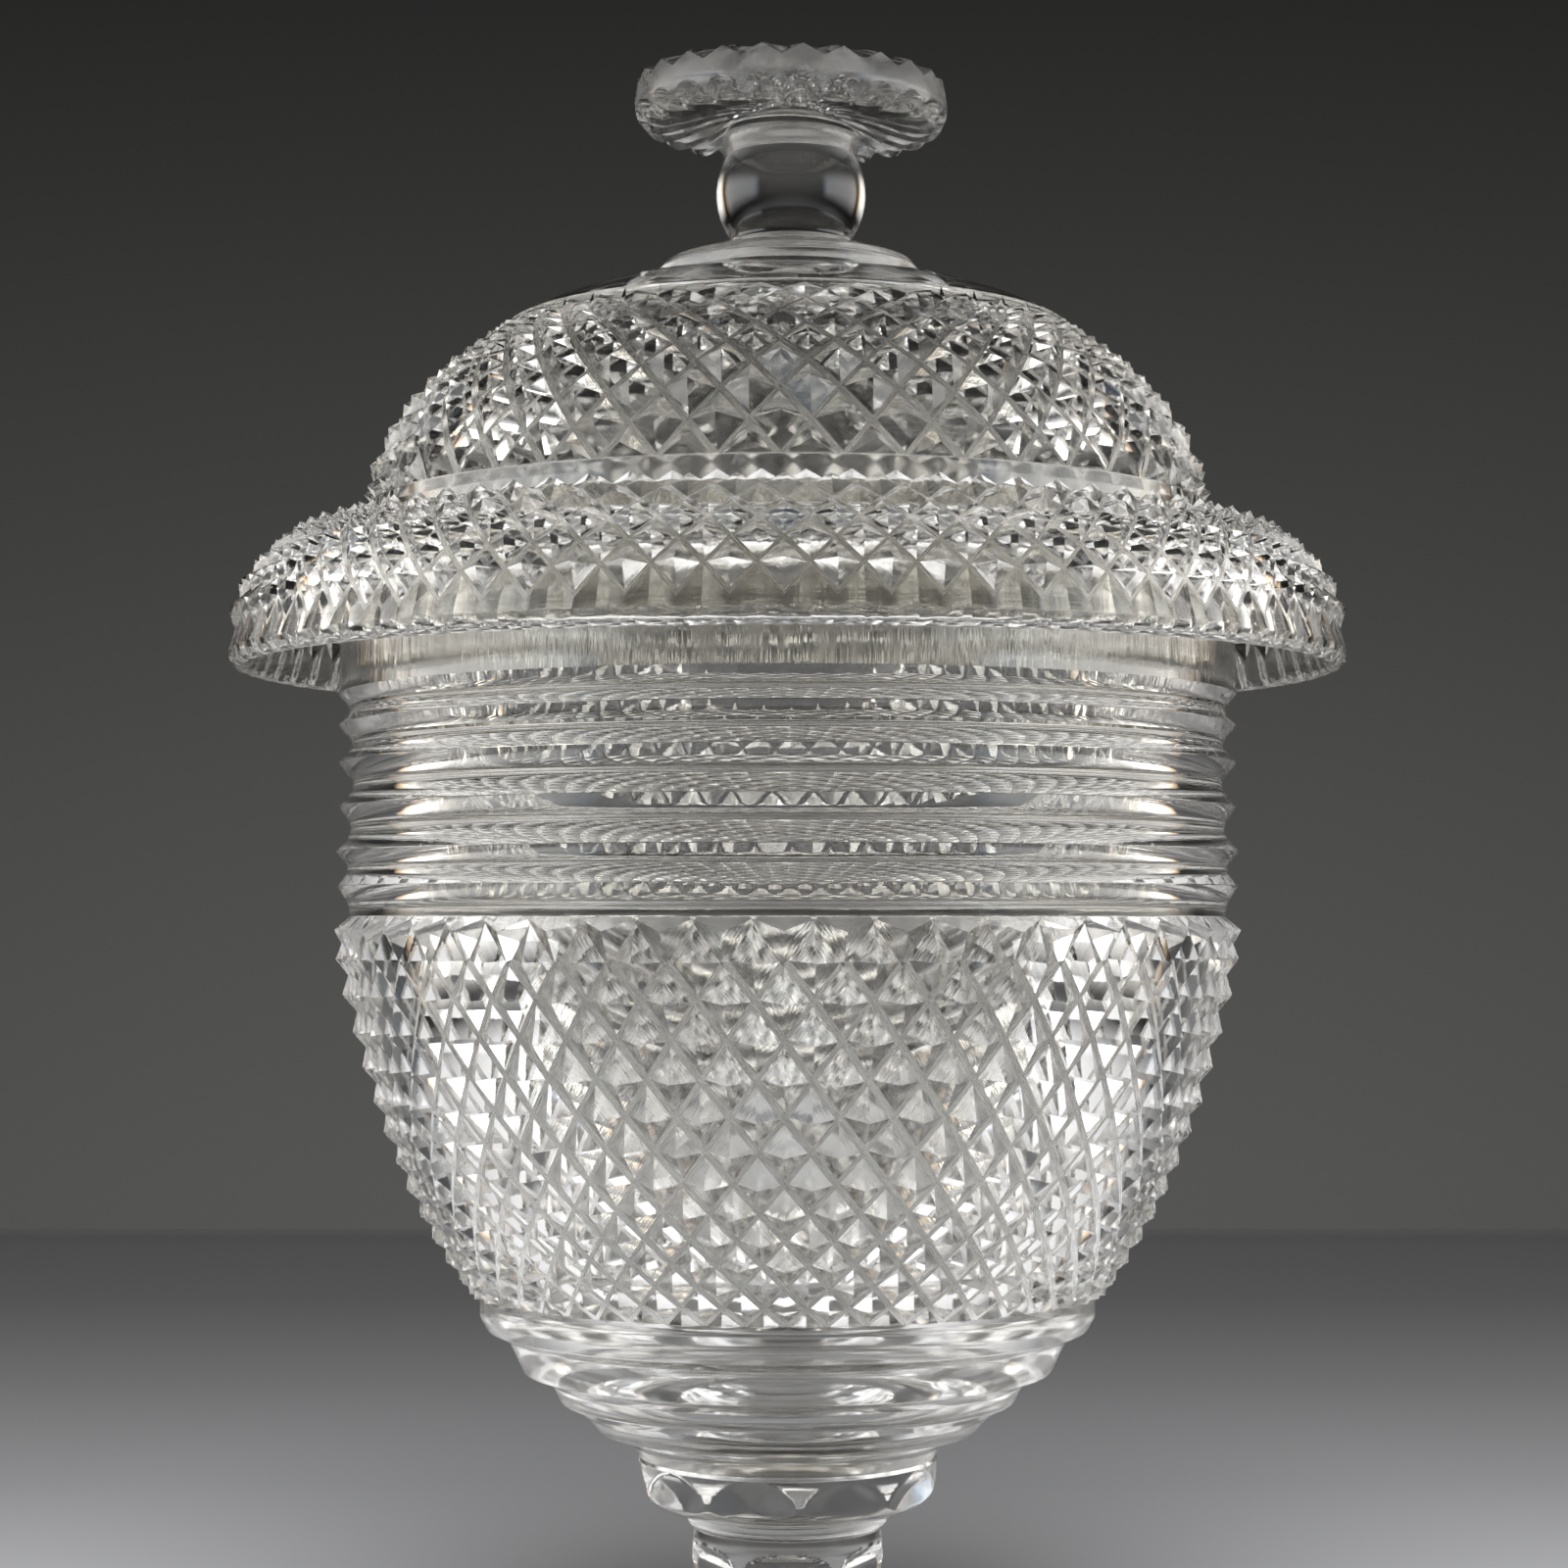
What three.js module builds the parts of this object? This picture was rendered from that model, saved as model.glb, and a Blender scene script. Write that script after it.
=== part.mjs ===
// Covered urn of cut lead glass: a footed vessel with a turned-over rim, and a loose domed cover with a mushroom finial.
// Millimetres, +Z up. The origin is the centre of the foot's underside, on the axis. The front of the urn faces -Y.
//
// Every piece is a solid skinned over rings of points around the axis. A skin runs outwards along a piece's bottom, up its
// outside, inwards over its top and down its inside, so that each face points out of the glass.
import * as THREE from "three";

// ---------------------------------------------------------------- driving dimensions
const ROUND = 40; // points around a plain turned ring

// heights of the joints between the pieces, all flat rings at right angles to the axis
const Z_FOOT_TOP = 21.0;
const Z_STEM_TOP = 66.0;
const Z_COLLAR_TOP = 78.0;
const Z_NECK_TOP = 222.0;
const Z_SEAT = 229.5; // ledge inside the rim on which the cover rests
const Z_DOME_TOP = 274.0;
const Z_PAD_TOP = 280.0;
const Z_KNOP_TOP = 296.5;
const Z_TOP = 314.0;

// diamond cutting: grooves cross in rows, and one pyramid stands in each cell between them
const GROOVE = 1.1; // width of a groove's flat bottom
const DIAMOND_SLOPE = 0.42; // height of a pyramid for each mm between its grooves
const END_FACET = 0.3; // how far a cut-off pyramid's tip lies inside the border, in rows

const BOWL_DIAMONDS = 52; // pyramids round the bowl
const BOWL_PHASE = -0.4; // degrees
// through the tips of the pyramids, upwards
const BOWL_ENVELOPE = [
  [52.7, 104.5], [55.9, 109], [58.4, 113], [61.8, 119], [64.6, 125], [67.0, 131],
  [69.2, 137], [71.0, 143], [72.7, 149], [74.3, 155], [75.5, 161], [75.9, 167.3],
];
const BOWL_ROW_Z = [104.5, 107.4, 110.7, 114.3, 118.2, 122.5, 127.0, 131.9, 137.1, 142.7, 148.6, 154.6, 160.6, 167.3];

const DOME_DIAMONDS = 46;
const DOME_PHASE = 2.9;
const DOME_ENVELOPE = [
  [71.5, 236.2], [70.5, 241.6], [68.2, 247.1], [64.8, 252.4], [60.5, 257.0], [55.8, 261.3], [49.0, 265.8],
];
const DOME_ROW_STEPS = [6.0, 6.1, 5.7, 5.1, 4.5, 4.0, 3.7, 3.4]; // along the surface, upwards

const RIM_DIAMONDS = 76;
const RIM_PHASE = -0.4;
const RIM_ENVELOPE = [
  [93.75, 213.4], [93.2, 217.7], [91.8, 221.8], [89.5, 225.2], [86.3, 228.6], [83.0, 231.1], [79.0, 232.3], [74.4, 231.0],
];
const RIM_ROW_STEPS = [4.4, 4.35, 4.25, 4.2, 4.2, 4.2, 4.4];
const RIM_FLUTE_DEPTH = 0.6; // hollow of each upright flute at the lip

const SEAT_R = 75.0; // outer edge of the seat ledge
const MOUTH_R = 68.0; // inside of the neck
const NECK_R = 75.0;
const FLANGE_R = 66.8; // the cover's locating flange, 1.2 mm clear of the mouth
const FLANGE_DEPTH = 8.0;

const COLLAR_FACETS = 10;
const COLLAR_PHASE = 4.5; // a facet's middle, degrees from +X
const STEM_FLATS = 6;
const FOOT_FLUTES = 26;
const FINIAL_FLUTES = 24;
const FINIAL_PHASE = -85.7; // a flute's middle, degrees from +X
const FINIAL_SHIFT = 0.6; // the finial was set a little off the axis
const FINIAL_LEAN = 0.021; // and leans a little, mm down for each mm along +X

// ---------------------------------------------------------------- skin of rings
const TAU = 2 * Math.PI;
const rad = (d) => (d * Math.PI) / 180;

class Skin {
  constructor() {
    this.points = [];
    this.faces = [];
  }
  point(a, r, z) {
    this.points.push([r * Math.cos(a), r * Math.sin(a), z]);
    return this.points.length - 1;
  }
  // n points at equal angles from the phase; at(angle, k) gives [r, z]
  ring(n, phase, at) {
    const ids = [];
    for (let k = 0; k < n; k++) {
      const a = rad(phase) + (TAU * k) / n;
      const [r, z] = at(a, k);
      ids.push(this.point(a, r, z));
    }
    return { ids, angles: ids.map((_, k) => rad(phase) + (TAU * k) / n) };
  }
  round(r, z, n = ROUND, phase = 0) {
    return this.ring(n, phase, () => [r, z]);
  }
  tri(a, b, c) {
    this.faces.push(a, b, c);
  }
  // closes a ring with a flat or conical disc: start is true where the skin begins
  disc(ring, z, start) {
    const c = this.point(0, 0, z);
    const { ids } = ring;
    ids.forEach((p, k) => {
      const q = ids[(k + 1) % ids.length];
      start ? this.tri(c, q, p) : this.tri(p, q, c);
    });
  }
  // a band from ring a to the next ring b, whatever their numbers of points
  band(a, b) {
    const m = a.ids.length;
    const n = b.ids.length;
    // start both at points that lie close together
    const wrap = (x) => ((x % TAU) + TAU) % TAU;
    let j0 = 0;
    let best = 9;
    b.angles.forEach((x, j) => {
      const d = Math.min(wrap(x - a.angles[0]), wrap(a.angles[0] - x));
      if (d < best - 1e-9) [best, j0] = [d, j];
    });
    const base = a.angles[0];
    const first = wrap(b.angles[j0] - base + Math.PI) - Math.PI;
    const A = (i) => (TAU * i) / m;
    const B = (j) => first + (TAU * j) / n;
    let i = 0;
    let j = 0;
    while (i < m || j < n) {
      const p = a.ids[i % m];
      const q = b.ids[(j0 + j) % n];
      if (j >= n || (i < m && A(i + 1) <= B(j + 1) + 1e-9)) {
        this.tri(p, a.ids[(i + 1) % m], q);
        i++;
      } else {
        this.tri(p, b.ids[(j0 + j + 1) % n], q);
        j++;
      }
    }
  }
  bands(rings) {
    rings.slice(1).forEach((r, i) => this.band(rings[i], r));
  }
  // rings of n points through a profile of [r, z]
  turned(profile, n = ROUND, phase = 0) {
    const rings = profile.map(([r, z]) => this.round(r, z, n, phase));
    this.bands(rings);
    return rings;
  }
  geometry() {
    const g = new THREE.BufferGeometry();
    g.setAttribute("position", new THREE.BufferAttribute(new Float32Array(this.points.flat()), 3));
    g.setIndex(this.faces);
    g.computeVertexNormals();
    return g;
  }
}

// ---------------------------------------------------------------- diamond cutting
// The envelope touches every tip. Rows are the heights at which grooves cross: valley and tip points take turns round each row.
class Envelope {
  constructor(points) {
    this.curve = new THREE.SplineCurve(points.map(([r, z]) => new THREE.Vector2(r, z)));
    this.table = [];
    let s = 0;
    let last = null;
    const N = 60 * (points.length - 1);
    for (let i = 0; i <= N; i++) {
      const p = this.curve.getPoint(i / N);
      if (last) s += p.distanceTo(last);
      this.table.push({ s, r: p.x, z: p.y });
      last = p;
    }
    this.length = s;
  }
  at(s) {
    const t = this.table;
    let i = 1;
    while (i < t.length - 1 && t[i].s < s) i++;
    const [a, b] = [t[i - 1], t[i]];
    const f = (s - a.s) / (b.s - a.s);
    const dr = (b.r - a.r) / (b.s - a.s);
    const dz = (b.z - a.z) / (b.s - a.s);
    // the outward normal of a surface that is followed upwards
    return { s, r: a.r + f * (b.r - a.r), z: a.z + f * (b.z - a.z), nr: dz, nz: -dr };
  }
  atHeight(z) {
    const t = this.table;
    let i = 1;
    while (i < t.length - 1 && t[i].z < z) i++;
    const f = (z - t[i - 1].z) / (t[i].z - t[i - 1].z);
    return t[i - 1].s + f * (t[i].s - t[i - 1].s);
  }
}

function diamondRows(envelope, stops, count) {
  return stops.map((s, j) => {
    const e = envelope.at(s);
    const before = j > 0 ? s - stops[j - 1] : stops[1] - s;
    const after = j < stops.length - 1 ? stops[j + 1] - s : before;
    const wide = (TAU * e.r) / count;
    const high = before + after;
    const apart = (wide * high) / Math.hypot(wide, high);
    const depth = Math.max(0.5, DIAMOND_SLOPE * (apart - GROOVE));
    return { ...e, depth, vr: e.r - depth * e.nr, vz: e.z - depth * e.nz };
  });
}

// Builds the pyramids between the rows. low and high say how each border ends: "cut" leaves half pyramids with an end facet,
// "points" lets the last pyramids run out in their own lower points. Returns the border rings.
function diamonds(skin, rows, count, phase, low, high, border = {}) {
  const n = 2 * count;
  const J = rows.length - 1;
  const angle = (k) => rad(phase) + (TAU * k) / n;
  const ids = rows.map((row, j) => {
    const line = [];
    for (let k = 0; k < n; k++) {
      const valley = (k + j) % 2 === 0;
      const edge = (j === 0 && low === "cut") || (j === J && high === "cut");
      if (j === 0 && low === "points" && !valley) line.push(-1);
      else if (valley || edge) {
        const [r, z] = (j === J && border.high) || (j === 0 && border.low) || [row.vr, row.vz];
        line.push(skin.point(angle(k), r, z));
      } else line.push(skin.point(angle(k), row.r, row.z));
    }
    return line;
  });
  const at = (k, j) => ids[j][((k % n) + n) % n];
  for (let j = 0; j <= J; j++) {
    for (let k = 0; k < n; k++) {
      if ((k + j) % 2 === 0) continue; // valleys
      if (j === 0 && low === "points") continue;
      const [left, right] = [at(k - 1, j), at(k + 1, j)];
      if (j === 0 || j === J) {
        // a half pyramid: its tip stands END_FACET of a row inside the border
        const other = rows[j === 0 ? 1 : J - 1];
        const row = rows[j];
        const mix = (a, b) => a + (b - a) * END_FACET;
        const tip = skin.point(angle(k), mix(row.r, other.r), mix(row.z, other.z));
        const mid = at(k, j);
        const far = at(k, j === 0 ? 1 : J - 1);
        if (j === 0) {
          skin.tri(left, mid, tip);
          skin.tri(mid, right, tip);
          skin.tri(tip, right, far);
          skin.tri(left, tip, far);
        } else {
          skin.tri(mid, left, tip);
          skin.tri(right, mid, tip);
          skin.tri(right, tip, far);
          skin.tri(tip, left, far);
        }
        continue;
      }
      const tip = at(k, j);
      const [down, up] = [at(k, j - 1), at(k, j + 1)];
      skin.tri(tip, right, up);
      skin.tri(tip, up, left);
      skin.tri(tip, left, down);
      skin.tri(tip, down, right);
    }
  }
  const ring = (line, from) => ({ ids: line, angles: line.map((_, k) => angle(k)) });
  const zigzag = ids[0].map((p, k) => (p < 0 ? ids[1][k] : p));
  return { low: ring(low === "points" ? zigzag : ids[0]), high: ring(ids[J]) };
}

const stopsFrom = (steps) => steps.reduce((list, s) => [...list, list[list.length - 1] + s], [0]);

// ---------------------------------------------------------------- vessel: bowl with its ringed neck
function bowl() {
  const s = new Skin();
  // stepped rings below the cut bowl, upwards
  const steps = s.turned([
    [24.7, Z_COLLAR_TOP], [26.2, 79.8], [27.6, 81.2],
    [31.5, 82.3], [33.2, 84.6], [34.2, 85.7],
    [38.0, 87.3], [39.3, 90.0], [40.2, 91.0],
    [44.1, 92.3], [46.2, 96.4], [46.9, 97.4],
    [50.3, 99.4], [51.2, 101.4],
  ]);
  s.disc(steps[0], Z_COLLAR_TOP, true);
  const envelope = new Envelope(BOWL_ENVELOPE);
  const rows = diamondRows(envelope, BOWL_ROW_Z.map((z) => envelope.atHeight(z)), BOWL_DIAMONDS);
  const cut = diamonds(s, rows, BOWL_DIAMONDS, BOWL_PHASE, "cut", "cut");
  s.band(steps[steps.length - 1], cut.low);
  // prism rings of the neck, and the plain band under the rim
  const neck = s.turned([
    [73.2, 168.5], [75.2, 172.6], [73.5, 175.6], [75.4, 178.3], [73.0, 182.1], [74.9, 185.7],
    [72.7, 189.5], [75.0, 192.9], [72.9, 196.3], [75.0, 199.2], [73.3, 201.8], [75.0, 204.5], [NECK_R, Z_NECK_TOP],
  ]);
  s.band(cut.high, neck[0]);
  // inside, downwards
  const inside = s.turned([
    [MOUTH_R, Z_NECK_TOP], [MOUTH_R, 168], [66.6, 154], [63.6, 141], [59.0, 128.5], [52.6, 116.5], [44.0, 105.5], [32.5, 97], [17, 91.8],
  ]);
  s.band(neck[neck.length - 1], inside[0]);
  s.disc(inside[inside.length - 1], 90.5, false);
  return s.geometry();
}

// ---------------------------------------------------------------- vessel: turned-over rim
function turnoverRim() {
  const s = new Skin();
  // from the inner bottom corner outwards under the arch and down inside the skirt
  const under = s.turned([
    [MOUTH_R, Z_NECK_TOP], [NECK_R, Z_NECK_TOP], [75.8, 224.4], [78.4, 226.1], [81.8, 226.0], [84.9, 223.9],
    [87.2, 220.2], [88.6, 215.0], [89.4, 210.6], [90.3, 208.7],
  ]);
  const count = RIM_DIAMONDS;
  const fluted = (ridge, hollow, z) => s.ring(2 * count, RIM_PHASE, (_, k) => [k % 2 ? ridge : hollow, z]);
  const lip = fluted(91.9, 91.5, 208.5);
  const edge = fluted(93.1, 93.1 - RIM_FLUTE_DEPTH, 209.9);
  const envelope = new Envelope(RIM_ENVELOPE);
  const stops = stopsFrom(RIM_ROW_STEPS);
  const scale = envelope.length / stops[stops.length - 1];
  const rows = diamondRows(envelope, stops.map((x) => x * scale), count);
  const cut = diamonds(s, rows, count, RIM_PHASE, "points", "cut", { high: [SEAT_R, Z_SEAT] });
  const seat = s.round(MOUTH_R, Z_SEAT);
  s.bands([under[under.length - 1], lip, edge, cut.low]);
  s.bands([cut.high, seat, under[0]]);
  return s.geometry();
}

// ---------------------------------------------------------------- vessel: ten-sided collar, stem and foot
// the radius at an angle of a round piece whose sides are cut by flats at the given distance from the axis
const flatCut = (angle, flats, phase, round, flat) => {
  const step = TAU / flats;
  const off = ((((angle - rad(phase)) % step) + step + step / 2) % step) - step / 2;
  return Math.min(round, flat / Math.cos(off));
};

function collar() {
  const s = new Skin();
  const n = 4 * COLLAR_FACETS;
  const rows = [
    // z, round radius, distance of the flats
    [Z_STEM_TOP, 15.6, 99], [66.7, 16.4, 99], [67.6, 16.4, 99], [68.3, 15.9, 99], [69.1, 19.6, 99], [70.2, 22.4, 21.9], [71.6, 24.2, 22.9],
    [73.0, 24.9, 23.5], [74.6, 24.9, 23.9], [75.6, 24.9, 99], [77.6, 24.9, 99], [Z_COLLAR_TOP, 24.7, 99],
  ];
  const rings = rows.map(([z, round, flat]) =>
    s.ring(n, COLLAR_PHASE, (a) => [flatCut(a, COLLAR_FACETS, COLLAR_PHASE, round, flat), z]),
  );
  s.bands(rings);
  s.disc(rings[0], Z_STEM_TOP, true);
  s.disc(rings[rings.length - 1], Z_COLLAR_TOP, false);
  return s.geometry();
}

function stem() {
  const s = new Skin();
  const rows = [
    [Z_FOOT_TOP, 17.0, 99], [23.0, 17.2, 17.1], [25.5, 17.2, 15.4], [29.0, 17.0, 14.1], [35.0, 16.6, 13.0], [45.0, 16.2, 12.5],
    [55.0, 16.0, 13.0], [60.0, 15.9, 13.6], [62.5, 15.9, 14.5], [64.3, 15.8, 15.7], [Z_STEM_TOP, 15.6, 99],
  ];
  const rings = rows.map(([z, round, flat]) => s.ring(4 * STEM_FLATS, 30, (a) => [flatCut(a, STEM_FLATS, 30, round, flat), z]));
  s.bands(rings);
  s.disc(rings[0], Z_FOOT_TOP, true);
  s.disc(rings[rings.length - 1], Z_STEM_TOP, false);
  return s.geometry();
}

function foot() {
  const s = new Skin();
  const n = 2 * FOOT_FLUTES;
  // z and radius on a ridge, z and radius in the middle of a flute
  const fluted = [
    [51.2, 0, 50.8, 0], [52.8, 1.0, 51.8, 1.0], [53.0, 4.6, 52.0, 4.4], [51.8, 5.8, 50.8, 5.3], [42.0, 8.6, 42.0, 7.7], [33.0, 11.6, 33.0, 11.0],
  ];
  const rings = fluted.map(([r1, z1, r2, z2]) => s.ring(n, 90, (_, k) => (k % 2 ? [r1, z1] : [r2, z2])));
  const top = s.turned([[27.5, 13.6], [26.4, 14.9], [22.6, 15.5], [21.6, 17.6], [18.6, 18.4], [17.4, 19.8], [17.0, Z_FOOT_TOP]]);
  s.bands(rings);
  s.band(rings[rings.length - 1], top[0]);
  s.disc(rings[0], 0, true);
  s.disc(top[top.length - 1], Z_FOOT_TOP, false);
  return s.geometry();
}

// ---------------------------------------------------------------- cover: cut dome with its locating flange
function coverDome() {
  const s = new Skin();
  const z0 = Z_SEAT;
  const inner = s.turned([
    [16, 268.0], [32, 266.2], [44.5, 262.4], [53.0, 256.8], [58.8, 249.5], [62.0, 241.5], [62.8, 234],
    [62.6, z0 - FLANGE_DEPTH + 0.8], [63.3, z0 - FLANGE_DEPTH], [66.0, z0 - FLANGE_DEPTH], [FLANGE_R, z0 - FLANGE_DEPTH + 0.8],
    [FLANGE_R, z0], [69.6, z0], [70.3, z0 + 0.8], [70.3, 235.4],
  ]);
  s.disc(inner[0], 268.4, true);
  const envelope = new Envelope(DOME_ENVELOPE);
  const stops = stopsFrom(DOME_ROW_STEPS);
  const scale = envelope.length / stops[stops.length - 1];
  const rows = diamondRows(envelope, stops.map((x) => x * scale), DOME_DIAMONDS);
  const cut = diamonds(s, rows, DOME_DIAMONDS, DOME_PHASE, "cut", "cut");
  s.band(inner[inner.length - 1], cut.low);
  const top = s.turned([[47.4, 266.7], [38.1, 270.7], [30.2, 273.1], [22.8, Z_DOME_TOP]]);
  s.band(cut.high, top[0]);
  s.disc(top[top.length - 1], Z_DOME_TOP, false);
  return s.geometry();
}

// ---------------------------------------------------------------- cover: finial
function finialPad() {
  const s = new Skin();
  const rings = s.turned([
    [21.6, Z_DOME_TOP], [22.0, 274.6], [22.0, 277.0], [21.0, 278.3], [18.4, 279.2], [14.2, 279.8], [11.4, Z_PAD_TOP],
  ]);
  s.disc(rings[0], Z_DOME_TOP, true);
  s.disc(rings[rings.length - 1], Z_PAD_TOP, false);
  return s.geometry();
}

function finialKnop() {
  const s = new Skin();
  const profile = [[10.7, Z_PAD_TOP], [10.9, 280.8], [10.5, 281.6], [10.3, 282.8]];
  const [centre, radius] = [290.2, 12.7];
  for (let i = 0; i <= 8; i++) {
    const z = 283.4 + ((Z_KNOP_TOP - 283.4) * i) / 8;
    profile.push([Math.sqrt(radius ** 2 - (z - centre) ** 2), z]);
  }
  const rings = s.turned(profile, 32);
  s.disc(rings[0], Z_PAD_TOP, true);
  s.disc(rings[rings.length - 1], Z_KNOP_TOP, false);
  return s.geometry();
}

function finialMushroom() {
  const s = new Skin();
  const n = 2 * FINIAL_FLUTES;
  // a domed bead on the knop, then the fluted underside: radius and z in a flute's middle, radius and z on the ridge beside it
  const rows = [
    [9.9, Z_KNOP_TOP, 9.9, Z_KNOP_TOP], [11.3, 297.4, 11.3, 297.4], [11.75, 298.8, 11.75, 298.8], [11.5, 300.3, 11.5, 300.3],
    [10.0, 301.8, 10.0, 301.8], [6.9, 302.9, 6.9, 302.9], [5.5, 303.8, 5.5, 303.8],
    [7.5, 304.8, 7.5, 304.3], [14, 304.3, 14, 302.8], [21.4, 303.0, 21.4, 300.8], [24.2, 302.8, 23.9, 300.95],
    [26.0, 303.6, 25.4, 301.8], [26.6, 304.6, 26.5, 304.3],
    // the side band: its upper edge rises to a point over each flute and dips at each ridge
    [26.0, 309.3, 26.3, 307.4],
    // the star on top
    [22, 310.5, 22, 309.5], [17, 311.5, 17, 311.1], [11, 312.7, 11, 312.55], [4, 313.7, 4, 313.68],
  ];
  const rings = rows.map(([r1, z1, r2, z2]) => s.ring(n, FINIAL_PHASE, (_, k) => (k % 2 ? [r2, z2] : [r1, z1])));
  s.bands(rings);
  s.disc(rings[0], Z_KNOP_TOP, true);
  s.disc(rings[rings.length - 1], Z_TOP, false);
  // the lean sets in over the bead
  s.points = s.points.map(([x, y, z]) => {
    const f = Math.min(1, Math.max(0, (z - 298) / 4));
    return [x, y, z - f * f * (3 - 2 * f) * FINIAL_LEAN * x];
  });
  return s.geometry();
}

// ---------------------------------------------------------------- assembly
const cutGlass = () => new THREE.MeshStandardMaterial({ color: 0xe6ebec, roughness: 0.06, metalness: 0 });
const polishedGlass = () => new THREE.MeshStandardMaterial({ color: 0xdfe5e6, roughness: 0.03, metalness: 0 });

function piece(name, geometry, material) {
  const mesh = new THREE.Mesh(geometry, material);
  mesh.name = name;
  return mesh;
}

const vessel = new THREE.Group();
vessel.add(
  piece("bowl", bowl(), cutGlass()),
  piece("turnover_rim", turnoverRim(), cutGlass()),
  piece("bowl_collar", collar(), polishedGlass()),
  piece("stem", stem(), polishedGlass()),
  piece("foot", foot(), cutGlass()),
);

const cover = new THREE.Group();
const knop = piece("finial_knop", finialKnop(), polishedGlass());
const mushroom = piece("finial_mushroom", finialMushroom(), cutGlass());
knop.position.x = FINIAL_SHIFT;
mushroom.position.x = FINIAL_SHIFT;
cover.add(piece("cover_dome", coverDome(), cutGlass()), piece("finial_pad", finialPad(), polishedGlass()), knop, mushroom);

const urn = new THREE.Group();
urn.add(vessel, cover);

export default urn;
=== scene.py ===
# Covered urn of cut lead glass: footed vessel with a turned-over rim, and a loose domed cover with a mushroom finial.
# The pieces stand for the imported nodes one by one, in the same frame. Lengths are written in millimetres and turned into
# metres when a mesh is made. Pieces that were joined hot meet in open rings of shared points, so that no face lies inside
# the glass; the cover is a body of its own.
import math

import bpy
import numpy as np
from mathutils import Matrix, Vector


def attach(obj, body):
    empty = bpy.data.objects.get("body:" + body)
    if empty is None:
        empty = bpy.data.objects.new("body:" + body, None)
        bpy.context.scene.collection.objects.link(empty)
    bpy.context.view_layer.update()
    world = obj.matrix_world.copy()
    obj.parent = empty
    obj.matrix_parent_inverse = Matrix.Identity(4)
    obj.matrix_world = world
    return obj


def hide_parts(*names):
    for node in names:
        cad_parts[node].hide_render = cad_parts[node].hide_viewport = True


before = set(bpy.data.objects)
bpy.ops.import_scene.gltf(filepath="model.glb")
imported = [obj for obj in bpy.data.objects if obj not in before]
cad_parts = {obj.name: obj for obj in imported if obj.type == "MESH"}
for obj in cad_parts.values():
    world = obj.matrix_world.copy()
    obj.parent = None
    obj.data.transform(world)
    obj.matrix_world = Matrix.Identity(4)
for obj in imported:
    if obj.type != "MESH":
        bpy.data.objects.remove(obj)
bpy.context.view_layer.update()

rng = np.random.default_rng(1820)
TAU = 2 * math.pi
MM = 0.001

# ------------------------------------------------------------------------------------------------ dimensions, mm
Z_FOOT_TOP, Z_STEM_TOP, Z_COLLAR_TOP = 21.0, 66.0, 78.0
Z_NECK_TOP, Z_SEAT = 222.0, 229.5
Z_DOME_TOP, Z_PAD_TOP, Z_KNOP_TOP, Z_TOP = 274.0, 280.0, 296.5, 314.0
MOUTH_R, NECK_R, SEAT_R = 68.0, 75.0, 75.0
FLANGE_R, FLANGE_DEPTH = 66.8, 8.0
SEAT_GAP = 0.05  # the cover touches its seat at a few points only

# radiances of the studio, where the backdrop is 0.02 to 0.1
SOFTBOX = 2.88
TABLE_LIGHT = 20.0
FRONT_LOW, FRONT_MID, FRONT_HIGH, FRONT_TOP = 0.05, 0.045, 0.03, 0.02

DIAMOND_SLOPE, END_FACET = 0.42, 0.3
BOWL_DIAMONDS, BOWL_PHASE = 52, -0.4
BOWL_ENVELOPE = [
    (52.7, 104.5), (55.9, 109), (58.4, 113), (61.8, 119), (64.6, 125), (67.0, 131),
    (69.2, 137), (71.0, 143), (72.7, 149), (74.3, 155), (75.5, 161), (75.9, 167.3),
]
BOWL_ROW_Z = [104.5, 107.4, 110.7, 114.3, 118.2, 122.5, 127.0, 131.9, 137.1, 142.7, 148.6, 154.6, 160.6, 167.3]
DOME_DIAMONDS, DOME_PHASE = 46, 2.9
DOME_ENVELOPE = [(71.5, 236.2), (70.5, 241.6), (68.2, 247.1), (64.8, 252.4), (60.5, 257.0), (55.8, 261.3), (49.0, 265.8)]
DOME_ROW_STEPS = [6.0, 6.1, 5.7, 5.1, 4.5, 4.0, 3.7, 3.4]
RIM_DIAMONDS, RIM_PHASE = 76, -0.4
RIM_ENVELOPE = [
    (93.75, 213.4), (93.2, 217.7), (91.8, 221.8), (89.5, 225.2), (86.3, 228.6), (83.0, 231.1), (79.0, 232.3), (74.4, 231.0),
]
RIM_ROW_STEPS = [4.4, 4.35, 4.25, 4.2, 4.2, 4.2, 4.4]
RIM_FLUTE_DEPTH = 0.6
COLLAR_FACETS, COLLAR_PHASE = 10, 4.5
STEM_FLATS = 6
FOOT_FLUTES = 26
FINIAL_FLUTES, FINIAL_PHASE, FINIAL_SHIFT, FINIAL_LEAN = 24, -85.7, 0.6, 0.021

# segments round the turned surfaces
N_BODY = 208
N_COVER = 184
N_RIM = 304
N_SMALL = 120


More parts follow.
